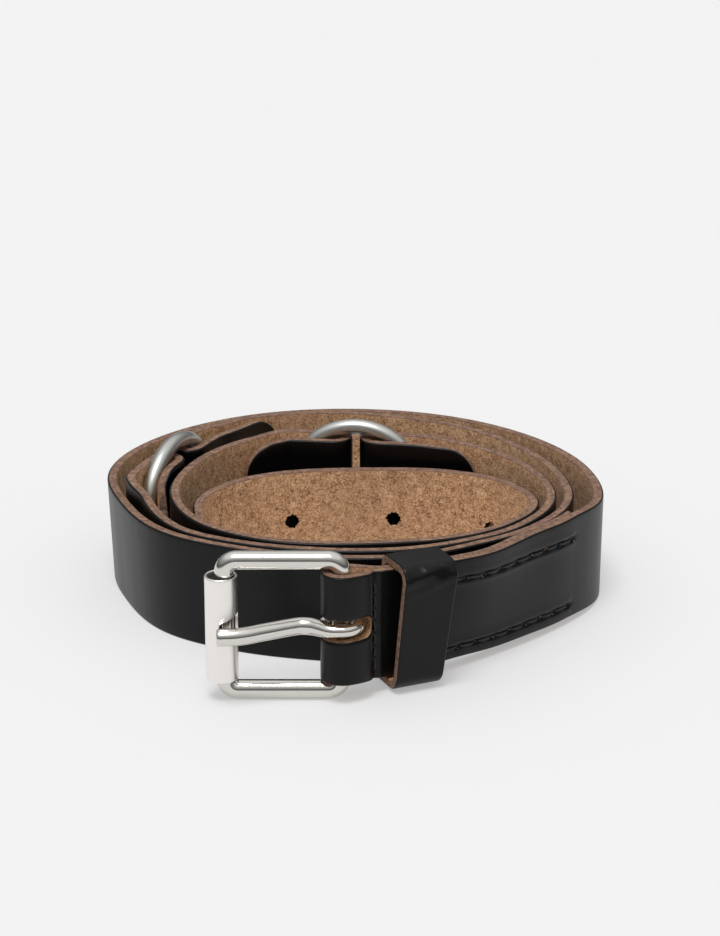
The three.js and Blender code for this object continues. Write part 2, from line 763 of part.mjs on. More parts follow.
// The belt, with its buckle in a group at the bar on which frame and prong turn
const belt = new THREE.Group();
belt.add(named("strap_tip_segment", punchedTip(), leatherMaterial()));
belt.add(named("strap_middle_segment", band(middleStations()), leatherMaterial()));
belt.add(named("strap_buckle_segment", slottedBuckleStrap(), leatherMaterial()));
belt.add(keeperMesh());
belt.add(...stops.map(ringMesh));

const buckle = new THREE.Group();
buckle.position.set(barX, barY, buckleHeight);
buckle.add(named("buckle_frame", frameGeometry(), steelMaterial()));
buckle.add(named("buckle_prong", prongGeometry(), steelMaterial()));
const roller = named("buckle_roller", rollerGeometry(), rollerMaterial());
roller.position.set(-buckleReach - rollerHang, 0, -rollerDrop);
buckle.add(roller);
belt.add(buckle);

// The origin is on the floor, under the middle of the belt
belt.updateMatrixWorld(true);
const box = new THREE.Box3().setFromObject(belt, true);
belt.position.set(-(box.min.x + box.max.x) / 2, -(box.min.y + box.max.y) / 2, -box.min.z);

export default belt;
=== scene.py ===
"""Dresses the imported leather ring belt: leather straps, plated metal, stitches, floor, light and camera."""

import math

import bpy
import numpy as np
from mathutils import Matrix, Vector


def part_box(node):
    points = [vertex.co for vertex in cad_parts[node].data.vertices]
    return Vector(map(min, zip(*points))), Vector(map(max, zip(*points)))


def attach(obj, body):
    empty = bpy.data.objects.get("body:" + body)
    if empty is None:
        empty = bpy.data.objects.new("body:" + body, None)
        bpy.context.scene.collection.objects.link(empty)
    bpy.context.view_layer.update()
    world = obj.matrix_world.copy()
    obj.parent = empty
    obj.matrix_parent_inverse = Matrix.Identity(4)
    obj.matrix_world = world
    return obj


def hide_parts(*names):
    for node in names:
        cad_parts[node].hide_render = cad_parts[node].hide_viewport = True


bl_info = {
    "name": "Leather ring belt",
    "version": (1, 0, 0),
    "blender": (4, 5, 0),
    "location": "View3D > Sidebar > Belt",
    "description": "Builds the visible surfaces of a coiled leather belt with rings and a roller buckle",
    "category": "Object",
}

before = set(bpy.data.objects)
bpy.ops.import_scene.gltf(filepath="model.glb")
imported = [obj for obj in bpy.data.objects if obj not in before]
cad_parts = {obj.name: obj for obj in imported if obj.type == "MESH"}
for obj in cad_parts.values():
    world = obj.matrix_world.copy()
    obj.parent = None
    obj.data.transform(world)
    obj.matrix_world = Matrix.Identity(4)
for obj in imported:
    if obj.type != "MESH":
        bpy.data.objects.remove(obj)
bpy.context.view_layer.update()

# The part's sizes, as in its CAD source, in millimetres
STRAP_WIDTH = 25.0
LEATHER = 2.3
TAIL_LEATHER = 1.2
SEAM_GAP = 0.3
WALL_GAP = 0.4
TIP_ROUND = 12.0
TAB_ROUND = 7.5
INNER_REACH = 42.0
WIDEST_GAP = 25.0
POLE_Y = -11.0
TIP_WINDING = 2.0
LEAVE_WINDING = 1297.0
HOLE_DIAMETER = 3.3
HOLE_SPACING = 25.0
HOLE_COUNT = 5
TIP_TO_HOLE = 44.9
RING_WIRE = 3.8
RING_INSIDE = 26.4
RING_SEAT = 0.3
FOLD_GAP = 1.6
BUCKLE_WIRE = 4.2
BUCKLE_REACH = 25.2
BUCKLE_CORNER = 2.8
STRAP_PLAY = 0.4
BAR_X = -3.3
BAR_Y = -66.6
DOUBLED_LENGTH = 69.0
DOUBLED_TURN = 32.0
LEAVE_PULL = 0.26
BAR_PULL = 0.36
FOLD_PINCH = 11.0
SLOT_REACH = 6.0
SLOT_HEIGHT = 5.0
PRONG_WIRE = 3.9
EYE_WIRE = 2.7
PIVOT_PLAY = 0.3
PRONG_TIP = 1.5
PRONG_BACK = 0.4
PRONG_DROOP = 0.5
PRONG_REST = 0.5
ROLLER_RADIUS = 3.55
ROLLER_SHEET = 0.55
ROLLER_HANG = 0.65
ROLLER_DROP = 0.4
ROLLER_LENGTH = 24.0
NOTCH_DEPTH = 0.4
NOTCH_PLAY = 0.6
KEEPER_LENGTH = 12.5
KEEPER_LEATHER = 1.9
KEEPER_PLACE = 19.4
KEEPER_SPACE = 3.6
KEEPER_TURN = -12.0
KEEPER_PLAY = 0.35
KEEPER_BACK = 1.3
KEEPER_FLOOR = 0.7
DOUBLED_LEAN = 0.05
STRAIGHT_RUN = 15.5
STRAIGHT_FADE = 9.0
TAB_FLAT = 3.0
SEAM_FILL = 0.26

# The leather's own unevenness and the doubled end's finish: millimetres, and counts of stitches and teeth
GRAIN_CORNER = 0.42
FLESH_CORNER = 0.22
GRAIN_WAVE = 0.05
FLESH_WAVE = 0.07
EDGE_WAVE = 0.06
CAP_INSET = 0.25
CAP_REACH = 0.18
HOLE_TEETH = 40
SLOT_BEVEL = 0.5
SLOT_SINK = 0.35
STITCH_DEPTH = 0.6
UPPER_ROW = (4.8, 5.2)
LOWER_ROW = (2.7, 3.3)
CROSS_ROW = 12.4
CROSS_STITCHES = 7
GROOVE_FLOOR = 0.42
GROOVE_SPREAD = 0.6
SHOULDER_AT = 1.3
SHOULDER_SPREAD = 0.5
SHOULDER_RISE = 0.25
PINCH_SPREAD = 1.1
FIBRE = 0.12
FIBRE_LENGTHS = (0.3, 0.8)
FIBRES_AT_HOLE = 2
STITCH_SINK = 0.7
CROSS_INSET = 2.4
BEVEL_REACH = 17.0

# Shape that is in the scene alone, set against the photo: millimetres, and a share for the taper
END_TILT = 3.2
END_TILT_SPAN = 14.0
END_TILT_PLACE = 32.0
LEAVE_RISE = 1.6
LEAVE_FADE = 20.0
RISE_START = 36.0
KEEPER_LEAN = 2.6
KEEPER_SLIDE = 1.2
KEEPER_SKEW = 1.7
KEEPER_TAPER = 0.09
CRUMPLE_AT = 12.5
CRUMPLE_SPAN = 3.0
CRUMPLE = 0.24
KEEPER_CORNERS = (1.4, 3.0, 2.4, 1.4)

# The prong's shank, one row for each point: share of its length, share of its rise and share of its swelling
PRONG_SHANK = (
    (0.1, 0.54, 0.3), (0.17, 0.29, 0.75), (0.25, 0.05, 1), (0.33, 0, 1), (0.42, 0.14, 1),
    (0.54, 0.39, 1), (0.66, 0.64, 1), (0.76, 0.86, 1), (0.86, 0.98, 1), (1, 1, 0.94),
)

# The coil's shape, one row for each sixteenth of a turn, clockwise from the tip. Shares of INNER_REACH,
# then for each further turn the free gap as a share of WIDEST_GAP and the share of a tab or tail in it.
TURN_ROWS = (
    (0.873, 0.005, 0.0, 0.065, 0.0, 0.012, 0.0),
    (0.88, 0.112, 0.0, 0.036, 0.48, 0.034, 0.0),
    (0.791, 0.254, 0.0, 0.034, 1.0, 0.245, 0.0),
    (0.669, 0.418, 0.0, 0.105, 1.0, 0.356, 0.0),
    (0.578, 0.265, 1.0, 0.587, 0.3, 0.173, 0.0),
    (0.549, 0.18, 1.0, 0.976, 0.0, 0.01, 0.0),
    (0.595, 0.085, 1.0, 0.86, 0.0, 0.047, 0.0),
    (0.725, 0.115, 0.5, 0.51, 0.0, 0.143, 0.0),
    (0.895, 0.146, 0.0, 0.2, 0.0, 0.182, 0.0),
    (0.985, 0.05, 0.0, 0.04, 0.0, 0.14, 0.0),
    (0.88, 0.02, 0.0, 0.004, 0.0, 0.0, 0.8),
    (0.752, 0.02, 0.0, 0.004, 0.0, 0.0, 1.0),
    (0.655, 0.08, 0.0, 0.05, 0.0, 0.0, 1.0),
    (0.632, 0.077, 0.0, 0.062, 0.0, 0.0, 1.0),
    (0.686, 0.026, 0.0, 0.046, 0.0, 0.0, 1.0),
    (0.802, 0.004, 0.0, 0.026, 0.0, 0.0, 1.0),
)
ROW_DEGREES = 360.0 / len(TURN_ROWS)
FIRST_BEARING = 202.5
LEAN_ROWS = (
    (0.0, 0.0),
    (700.0, 0.0),
    (745.0, 0.005),
    (800.0, 0.0),
    (1050.0, 0.0),
    (1102.0, 0.045),
    (1192.0, 0.03),
    (1260.0, 0.0),
    (LEAVE_WINDING, 0.03),
)
RING_STOPS = (
    {"name": "ring_2", "winding": 472.8, "press": 0.2, "tip_reach": 120.0, "buckle_reach": 90.0,
     "tip_tab": 33.3, "buckle_tab": 32.2},
    {"name": "ring_1", "winding": 769.5, "press": 1.3, "tip_reach": 48.0, "buckle_reach": 80.0,
     "tip_tab": 23.5, "buckle_tab": 42.0},
)

# What follows from the sizes
RING_RADIUS = (RING_INSIDE + RING_WIRE) / 2
RING_HEIGHT = RING_RADIUS + RING_WIRE / 2
RING_LIFT = RING_HEIGHT - STRAP_WIDTH / 2
RING_FOLD = RING_WIRE / 2 + RING_SEAT + LEATHER / 2
TAB_SPACING = 2 * RING_FOLD
BUCKLE_RISE = (STRAP_WIDTH + 2 * STRAP_PLAY + BUCKLE_WIRE) / 2
BUCKLE_HEIGHT = BUCKLE_RISE + BUCKLE_WIRE / 2
BUCKLE_LIFT = BUCKLE_HEIGHT - STRAP_WIDTH / 2
BAR_FOLD = BUCKLE_WIRE / 2 + PIVOT_PLAY + LEATHER / 2
KEEPER_LIFT = KEEPER_LEATHER + KEEPER_PLAY + KEEPER_FLOOR

# How finely paths and wires are stepped and how far bends are softened: degrees, millimetres and counts
STEP_DEGREES = 0.5
COIL_STEP = 1.1
FINE_STEP = 0.36
PATH_STEP = 0.1
BEND_SOFTNESS = 0.7
LIFT_SOFTNESS = 3.0
TAB_SOFTNESS = 7.0
WIRE_SIDES = 32
PRONG_SIDES = 28
RING_STEPS = 160
PRONG_STEPS = 150
ROLLER_STEPS = 72

GRAIN, EDGE, FLESH = 0, 1, 2


def smooth(value, low, high):
    """A share that runs from 0 at low to 1 at high, level at both ends."""
    share = np.clip((np.asarray(value, float) - low) / (high - low), 0, 1)
    return share * share * (3 - 2 * share)


def mix(low, high, share):
    """The value a share of the way from low to high."""
    return low + (high - low) * share


def run_along(point):
    """The distance of each point of a line from its first one."""
    return np.append(0, np.cumsum(np.linalg.norm(np.diff(point, axis=0), axis=1)))


def winding_reaches():
    """The coil's reach at each row of each turn: every turn lies outside the last by leather and gap."""
    rows = len(TURN_ROWS)
    reaches = [row[0] * INNER_REACH for row in TURN_ROWS]
    for gap, tab, tail in ((1, 2, None), (3, 4, None), (5, None, 6)):
        for row in TURN_ROWS:
            inner = len(reaches) - rows
            span = 1 if inner == 0 else 2
            slope = (reaches[max(inner - 1, 0)] - reaches[inner + 1]) / (span * math.radians(ROW_DEGREES))
            pitch = LEATHER + WALL_GAP + row[gap] * WIDEST_GAP
            if tab:
                pitch += row[tab] * TAB_SPACING
            if tail:
                pitch += row[tail] * (TAIL_LEATHER + SEAM_GAP)
            reaches.append(reaches[inner] + pitch * math.hypot(1, slope / reaches[inner]))
    return np.array(reaches)


REACHES = winding_reaches()


def winding_point(winding):
    """The strap's middle line at a winding, as a smooth curve through the rows."""
    place = np.asarray(winding, float) / ROW_DEGREES
    low = np.clip(np.floor(place).astype(int), 0, len(REACHES) - 2)
    t = place - low
    last = len(REACHES) - 1
    p0 = REACHES[np.clip(low - 1, 0, last)]
    p1 = REACHES[low]
    p2 = REACHES[np.clip(low + 1, 0, last)]
    p3 = REACHES[np.clip(low + 2, 0, last)]
    reach = ((2 * t**3 - 3 * t**2 + 1) * p1 + (t**3 - 2 * t**2 + t) * (p2 - p0) / 2
             + (3 * t**2 - 2 * t**3) * p2 + (t**3 - t**2) * (p3 - p1) / 2)
    bearing = np.radians(FIRST_BEARING - np.asarray(winding, float))
    return np.stack([reach * np.cos(bearing), POLE_Y + reach * np.sin(bearing)], axis=-1)


def ring_stops():
    """Where each ring holds the coil: a place, the way towards the buckle, and the way out of the coil."""
    stops = []
    for stop in RING_STOPS:
        along = winding_point(stop["winding"] + 1) - winding_point(stop["winding"] - 1)
        along /= np.linalg.norm(along)
        out = np.array([-along[1], along[0]])
        place = winding_point(stop["winding"]) - out * stop["press"]
        stops.append({**stop, "place": place, "along": along, "out": out})
    return stops


STOPS = ring_stops()


def coil_path():
    """The whole coil's middle line with its windings, lifts and leans, pressed straight at the rings."""
    winding = np.append(np.arange(TIP_WINDING, LEAVE_WINDING, STEP_DEGREES), LEAVE_WINDING)
    point = winding_point(winding)
    for stop in STOPS:
        near = np.abs(winding - stop["winding"]) < 90
        away = point - stop["place"]
        run = np.abs(away @ stop["along"])
        share = (1 - smooth(run, STRAIGHT_RUN, STRAIGHT_RUN + STRAIGHT_FADE)) * near
        point = point - np.outer((away @ stop["out"]) * share, stop["out"])
    run = run_along(point)
    lift = np.zeros(len(run))
    for stop in STOPS:
        stop["run"] = float(np.interp(stop["winding"], winding, run))
        away = run - stop["run"]
        reach = np.where(away < 0, stop["tip_reach"], stop["buckle_reach"])
        lift = np.maximum(lift, RING_LIFT * (1 - smooth(np.abs(away) / reach, 0.12, 1)))
    lean = np.zeros(len(run))
    for low, high in zip(LEAN_ROWS[:-1], LEAN_ROWS[1:]):
        inside = (winding >= low[0]) & (winding <= high[0])
        lean[inside] = mix(low[1], high[1], smooth(winding[inside], low[0], high[0]))
    return {"winding": winding, "point": point, "run": run, "lift": lift, "lean": lean,
            "thick": np.full(len(run), LEATHER)}


def path_normals(point):
    """The unit normals of a flat path, to the left of its way."""
    along = np.gradient(point, axis=0)
    along /= np.linalg.norm(along, axis=1)[:, None]
    return np.stack([-along[:, 1], along[:, 0]], axis=1)


COIL = coil_path()


def part_of(path, keep):
    """The stations of a path that a mask or an index picks."""
    return {key: value[keep] for key, value in path.items()}


def joined(*paths):
    """Paths one after another, with the values that every path has."""
    keys = ("point", "lift", "lean", "thick")
    return {key: np.concatenate([path[key] for path in paths]) for key in keys}


def flipped(path):
    """A path taken the other way."""
    return {key: value[::-1] for key, value in path.items()}


def hook(stop, side, tab_length):
    """A strap's end at a ring: the strap that runs up to it, the fold through it, and the turned-in tab.

    side is 1 for the strap from the tip's side and -1 for the one from the buckle's side.
    """
    turn_at = FOLD_GAP / 2 + RING_FOLD + LEATHER / 2
    ahead = ((COIL["point"] - stop["place"]) @ stop["along"]) * -side
    near = np.abs(COIL["winding"] - stop["winding"]) < 90
    ours = (stop["winding"] - COIL["winding"]) * side > 0
    far = part_of(COIL, ours & (~near | (ahead > turn_at + 0.5)))
    if side < 0:
        far = flipped(far)
    angle = np.linspace(0, math.pi, 24)
    along = turn_at - RING_FOLD * np.sin(angle)
    out = -RING_FOLD * (1 - np.cos(angle))
    point = stop["place"] + np.outer(-side * along, stop["along"]) + np.outer(out, stop["out"])
    level = np.ones(len(angle))
    bend = {"point": point, "lift": RING_LIFT * level, "lean": 0 * level, "thick": LEATHER * level}
    back = flipped(far)
    back = part_of(back, np.abs(back["run"] - stop["run"]) <= tab_length)
    normal = path_normals(back["point"]) * side
    inside = back["point"] + normal * TAB_SPACING
    reached = ((inside - stop["place"]) @ stop["along"]) * -side
    ring_side = RING_RADIUS + RING_WIRE / 2 + RING_SEAT
    close = smooth(reached, ring_side, tab_length - TAB_FLAT)
    offset = mix(TAB_SPACING, LEATHER + SEAM_GAP, close)
    tab = dict(back)
    line = back["point"] + normal * offset[:, None]
    tab["point"] = np.stack([softened(line[:, k], TAB_SOFTNESS) for k in (0, 1)], axis=1)
    return far, bend, tab


def softened(values, spread):
    """Values averaged with their neighbours by a bell curve of that spread, the two ends kept."""
    reach = int(3 * spread)
    weight = np.exp(-0.5 * (np.arange(-reach, reach + 1) / spread) ** 2)
    grown = np.pad(values, reach, mode="reflect", reflect_type="odd")
    return np.convolve(grown, weight / weight.sum(), mode="valid")


def evened(path):
    """A path at even steps, its corners softened a little and its lift, lean and thickness more."""
    point = path["point"]
    step = np.linalg.norm(np.diff(point, axis=0), axis=1)
    keep = np.append(True, step > 1e-6)
    point = point[keep]
    run = run_along(point)
    even = np.arange(0, run[-1], PATH_STEP)
    out = {key: softened(np.interp(even, run, path[key][keep]), LIFT_SOFTNESS / PATH_STEP)
           for key in ("lift", "lean", "thick")}
    line = [softened(np.interp(even, run, point[:, k]), BEND_SOFTNESS / PATH_STEP) for k in (0, 1)]
    out["point"] = np.stack(line, axis=1)
    out["normal"] = path_normals(out["point"])
    out["run"] = run_along(out["point"])
    return out


def tip_path():
    """The tip strap, from its tip to the inner ring."""
    far, bend, tab = hook(STOPS[0], 1, STOPS[0]["tip_tab"])
    return evened(joined(far, bend, tab))


def middle_path():
    """The middle strap, from the inner ring to the outer one."""
    inner, outer = STOPS
    halfway = (inner["winding"] + outer["winding"]) / 2
    far, bend, tab = hook(inner, -1, inner["buckle_tab"])
    far2, bend2, tab2 = hook(outer, 1, outer["tip_tab"])
    first = part_of(far, far["winding"] < halfway)
    second = part_of(far2, far2["winding"] >= halfway)
    return evened(joined(flipped(tab), flipped(bend), flipped(first), second, bend2, tab2))


BAR = np.array([BAR_X, BAR_Y])
DOUBLED_WAY = np.array([math.cos(math.radians(DOUBLED_TURN)), math.sin(math.radians(DOUBLED_TURN))])


def doubled_line():
    """The doubled end's middle line: a cubic curve that leaves the coil along it and meets the bar's fold."""
    along = COIL["point"][-1] - COIL["point"][-9]
    along /= np.linalg.norm(along)
    normal = np.array([-along[1], along[0]])
    start = COIL["point"][-1] - normal * (LEATHER + SEAM_GAP) / 2
    length = np.linalg.norm(start - BAR)
    p1 = start + along * LEAVE_PULL * length
    p2 = BAR + DOUBLED_WAY * BAR_PULL * length
    t = np.linspace(0, 1, 200)[:, None]
    return (1 - t)**3 * start + 3 * (1 - t)**2 * t * p1 + 3 * (1 - t) * t**2 * p2 + t**3 * BAR


def doubled_lift(away):
    """How high the doubled end is carried at a distance from the bar."""
    high = mix(BUCKLE_LIFT, KEEPER_LIFT, smooth(away, 0, KEEPER_PLACE - KEEPER_LENGTH / 2))
    fallen = smooth(away, KEEPER_PLACE + KEEPER_LENGTH / 2, DOUBLED_LENGTH - 6)
    risen = smooth(away, RISE_START, RISE_START + LEAVE_FADE)
    return high * (1 - fallen) + LEAVE_RISE * risen


def doubled_layer(line, away, normal, side):
    """One layer of the doubled end: 1 is the front one, -1 the pared one behind."""
    opened = 1 - smooth(away, 0.12 * FOLD_PINCH, FOLD_PINCH)
    pared = smooth(away, 1, FOLD_PINCH) if side < 0 else 0 * away
    thick = mix(LEATHER, TAIL_LEATHER, pared)
    offset = mix((thick + SEAM_GAP) / 2, BAR_FOLD, opened)
    filled = SEAM_FILL * pared
    tilt = END_TILT / STRAP_WIDTH * np.exp(-(((away - END_TILT_PLACE) / END_TILT_SPAN) ** 2))
    lean = DOUBLED_LEAN * smooth(away, FOLD_PINCH, KEEPER_PLACE + KEEPER_LENGTH) + tilt * smooth(away, 4, 16)
    return {"point": line + normal * (side * (offset - filled / 2))[:, None], "lift": doubled_lift(away),
            "lean": side * lean, "thick": thick + filled}


def buckle_path():
    """The buckle strap, from the outer ring round the coil, round the bar and back to the pared end."""
    far, bend, tab = hook(STOPS[1], -1, STOPS[1]["buckle_tab"])
    line = doubled_line()
    steps = np.linalg.norm(np.diff(line, axis=0), axis=1)
    away = np.append(np.cumsum(steps[::-1])[::-1], 0)
    normal = path_normals(line)
    inner = slice(2, -3)
    front = doubled_layer(line[inner], away[inner], normal[inner], 1)
    back = flipped(doubled_layer(line[inner], away[inner], normal[inner], -1))
    angle = np.linspace(0, math.pi, 30)
    out = np.array([DOUBLED_WAY[1], -DOUBLED_WAY[0]])
    point = BAR + np.outer(BAR_FOLD * np.cos(angle), out) - np.outer(BAR_FOLD * np.sin(angle), DOUBLED_WAY)
    level = np.ones(len(angle))
    fold = {"point": point, "lift": BUCKLE_LIFT * level, "lean": 0 * level, "thick": LEATHER * level}
    left = COIL["run"][-1] - COIL["run"]
    tail = flipped(part_of(COIL, (left > 0) & (left < DOUBLED_LENGTH - away[0])))
    inward = -path_normals(tail["point"][::-1])[::-1]
    tail["point"] = tail["point"] + inward * (LEATHER / 2 + SEAM_GAP + TAIL_LEATHER / 2 - SEAM_FILL / 2)
    tail["lean"] = -tail["lean"]
    tail["thick"] = np.full(len(tail["run"]), TAIL_LEATHER + SEAM_FILL)
    for strip in (far, tail):
        before_end = COIL["run"][-1] - strip["run"]
        strip["lift"] = strip["lift"] + LEAVE_RISE * (1 - smooth(before_end, 0, LEAVE_FADE))
    path = evened(joined(flipped(tab), flipped(bend), flipped(far), front, fold, back, tail))
    nearest = np.argmin(np.linalg.norm(path["point"] - point[len(angle) // 2], axis=1))
    path["from_fold"] = path["run"] - path["run"][nearest]
    return path


def half_width(away, corner):
    """Half the strap's width at a distance from an end with rounded corners."""
    inside = np.clip(corner - away, 0, corner)
    return STRAP_WIDTH / 2 - corner + np.sqrt(corner**2 - inside**2)


def along_steps(length, start_corner, end_corner, fine=()):
    """Distances along a strap: even steps, shorter in the fine stretches and where an end's corner curves."""
    near = 1 - np.cos(np.linspace(0, math.pi / 2, 15))
    start = near * start_corner
    stop = length - near[::-1] * end_corner
    run = np.arange(start_corner, length - end_corner, PATH_STEP)
    step = np.full(len(run), COIL_STEP)
    for low, high in fine:
        step[(run > low) & (run < high)] = FINE_STEP
    count = np.append(0, np.cumsum(PATH_STEP / step))[:-1]
    middle = np.interp(np.linspace(0, count[-1], int(count[-1])), count, run)
    parts = [start[:-1] if start_corner else [], middle, stop[1:] if end_corner else []]
    return np.concatenate(parts)


def profile(thick, half, face_steps):
    """The strap's cross-section at each station: a rectangle whose grain corners are the rounder ones.

    It runs up the grain face, over the top edge, down the flesh face and back under. Each step lies at a
    share of half the thickness and a share of half the width, moved by a corner's arc. Also gives the surface
    that each step belongs to.
    """
    arc = np.radians(np.linspace(0, 90, 5))
    rim = np.array([0.33, 0.66])
    grain = 2 * face_steps - 1
    flesh = 1 - 2 * face_steps[::2][1:-1]
    over = np.concatenate([np.ones(4), 1 - 2 * rim, -np.ones(5)])
    over_across = np.concatenate([-GRAIN_CORNER * (1 - np.cos(arc[1:])),
                                  mix(-GRAIN_CORNER, FLESH_CORNER, rim),
                                  FLESH_CORNER * (1 - np.cos(arc[::-1]))])
    over_up = np.concatenate([GRAIN_CORNER * (np.sin(arc[1:]) - 1), 0 * rim,
                              FLESH_CORNER * (np.sin(arc[::-1]) - 1)])
    over_kind = np.array([GRAIN] * 3 + [EDGE] * 7 + [FLESH])
    ones = np.ones(len(over))
    share_across = np.concatenate([np.ones(len(grain)), over, -np.ones(len(flesh)), over[::-1]])
    move_across = np.concatenate([0 * grain, over_across, 0 * flesh, over_across[::-1]])
    share_up = np.concatenate([grain, ones, flesh, -ones])
    move_up = np.concatenate([-grain * GRAIN_CORNER, over_up, -flesh * FLESH_CORNER, -over_up[::-1]])
    kind = np.concatenate([np.full(len(grain), GRAIN), over_kind,
                           np.full(len(flesh), FLESH), over_kind[::-1]])
    return np.outer(thick / 2, share_across) + move_across, np.outer(half, share_up) + move_up, kind


def wander(run, up, seed, size):
    """A slow, even unevenness: three waves of unlike lengths along and across."""
    a = np.sin(run / 17.0 + seed) * np.cos(up / 9.0 + seed * 2)
    b = np.sin(run / 7.3 + up / 11.0 + seed * 3)
    c = np.sin(run / 31.0 - up / 23.0 + seed * 5)
    return size * (0.5 * a + 0.25 * b + 0.45 * c)


def grid_faces(rings, closed, first=0):
    """Quads between neighbouring rings of points, and a flat end on each open end, all facing outwards.

    Corner k of ring i joins corner k + 1 and the same two of ring i + 1. The volume that the quads hold,
    summed from their corners, is negative when they face inwards, and then they are turned.
    """
    count, sides = rings.shape[:2]
    points = rings.reshape(-1, 3)
    i = np.arange(count if closed else count - 1)[:, None]
    k = np.arange(sides)[None, :]
    here = i * sides
    after = ((i + 1) % count) * sides
    next_k = (k + 1) % sides
    quads = np.stack([here + k, here + next_k, after + next_k, after + k], axis=-1).reshape(-1, 4)
    a, b, c, d = (points[quads[:, n]] for n in range(4))
    volume = np.einsum("ij,ij->i", a, np.cross(b, c)).sum() + np.einsum("ij,ij->i", a, np.cross(c, d)).sum()
    start = np.arange(sides)[::-1]
    end = np.arange((count - 1) * sides, count * sides)
    if volume < 0:
        quads, start, end = quads[:, ::-1], start[::-1], end[::-1]
    faces = (quads + first).tolist()
    return faces if closed else faces + [(start + first).tolist(), (end + first).tolist()]


def build_mesh(name, rings, kind=None, closed=False):
    """A smooth mesh from rings of points in millimetres, with UVs in metres along and round it."""
    count, sides = rings.shape[:2]
    mesh = bpy.data.meshes.new(name)
    mesh.from_pydata((rings.reshape(-1, 3) * 0.001).tolist(), [], grid_faces(rings, closed))
    mesh.polygons.foreach_set("use_smooth", np.ones(len(mesh.polygons), bool))
    if kind is not None:
        index = np.tile(kind, count if closed else count - 1)
        if not closed:
            index = np.append(index, [EDGE, EDGE])
        mesh.polygons.foreach_set("material_index", index.astype(np.int32))
    run = run_along(rings.mean(axis=1))
    girth = run_along(rings[count // 2])
    uv = np.stack([np.repeat(run, sides), np.tile(girth, count)], axis=1) * 0.001
    layer = mesh.uv_layers.new(name="UVMap")
    corner = np.zeros(len(mesh.loops), np.int32)
    mesh.loops.foreach_get("vertex_index", corner)
    layer.data.foreach_set("uv", uv[corner].astype(np.float32).ravel())
    mesh.validate()
    mesh.update()
    return mesh


def merged(name, tubes):
    """One smooth mesh from many open tubes, each with its own two ends."""
    faces = []
    first = 0
    for rings in tubes:
        faces += grid_faces(rings, False, first)
        first += rings.shape[0] * rings.shape[1]
    points = np.concatenate([rings.reshape(-1, 3) for rings in tubes]) * 0.001
    mesh = bpy.data.meshes.new(name)
    mesh.from_pydata(points.tolist(), [], faces)
    mesh.polygons.foreach_set("use_smooth", np.ones(len(mesh.polygons), bool))
    mesh.update()
    return mesh


def shift_mm():
    """How far the part's frame lies from the coil's own, found from the buckle frame's box."""
    low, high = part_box("buckle_frame")
    x = high[0] * 1000 - (BAR_X + BUCKLE_WIRE / 2)
    y = (low[1] + high[1]) * 500 - BAR_Y
    return np.array([x, y, 0.0])


SHIFT = shift_mm()


def place_piece(mesh, body, nodes, materials):
    """Puts a mesh in the scene on a body, in place of CAD nodes, with its materials."""
    piece = bpy.data.objects.new(mesh.name, mesh)
    bpy.context.scene.collection.objects.link(piece)
    for material in materials:
        mesh.materials.append(material)
    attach(piece, body)
    if nodes:
        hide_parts(*nodes)
    return piece


def linear(value):
    """An sRGB hex colour as linear red, green, blue and alpha."""
    parts = [int(value[k:k + 2], 16) / 255 for k in (1, 3, 5)]
    return tuple(p / 12.92 if p <= 0.04045 else ((p + 0.055) / 1.055) ** 2.4 for p in parts) + (1.0,)


def per_metre(size):
    """The scale, on coordinates in metres, of a pattern whose cells are that many millimetres wide."""
    return 1000 / size


def add_node(tree, kind, inputs, stops=(), **settings):
    """Adds a node with its settings, the values and links of its inputs, and the stops of its ramp.

    An input's value is a number, a tuple, an sRGB hex colour, or the output of another node to link.
    """
    node = tree.nodes.new("ShaderNode" + kind)
    for name, value in settings.items():
        setattr(node, name, value)
    for name, value in inputs.items():
        if isinstance(value, bpy.types.NodeSocket):
            tree.links.new(value, node.inputs[name])
        else:
            node.inputs[name].default_value = linear(value) if isinstance(value, str) else value
    for number, (place, tone) in enumerate(stops):
        ramp = node.color_ramp.elements
        element = ramp[number] if number < len(ramp) else ramp.new(place)
        element.position = place
        element.color = linear(tone) if isinstance(tone, str) else (tone, tone, tone, 1)
    return node


def empty_material(name):
    """A new material, its cleared node tree, and the Object coordinates that its patterns read."""
    material = bpy.data.materials.new(name)
    material.use_nodes = True
    material.node_tree.nodes.clear()
    place = add_node(material.node_tree, "TexCoord", {}).outputs["Object"]
    return material, material.node_tree, place


# Pattern sizes of the finishes, in millimetres. Nap, cut fibres and buffing marks are really under 0.1 mm and
# are drawn as coarse as they need to show; pebble, pores and twist are near their real sizes.
PEBBLE = 0.385
PORE = 0.192
DYE_CLOUD = 11.1
WORN_STREAK = 16.7
CREASE = 6.67
CUT_FIBRE = 1.11
EDGE_STAIN = 6.25
NAP = 0.476
NAP_CLUMP = 1.67
NAP_SHADE = 22.2
PLATE_HAZE = 5.56
BUFFING_MARK = 1.11
THREAD_TWIST = 0.286


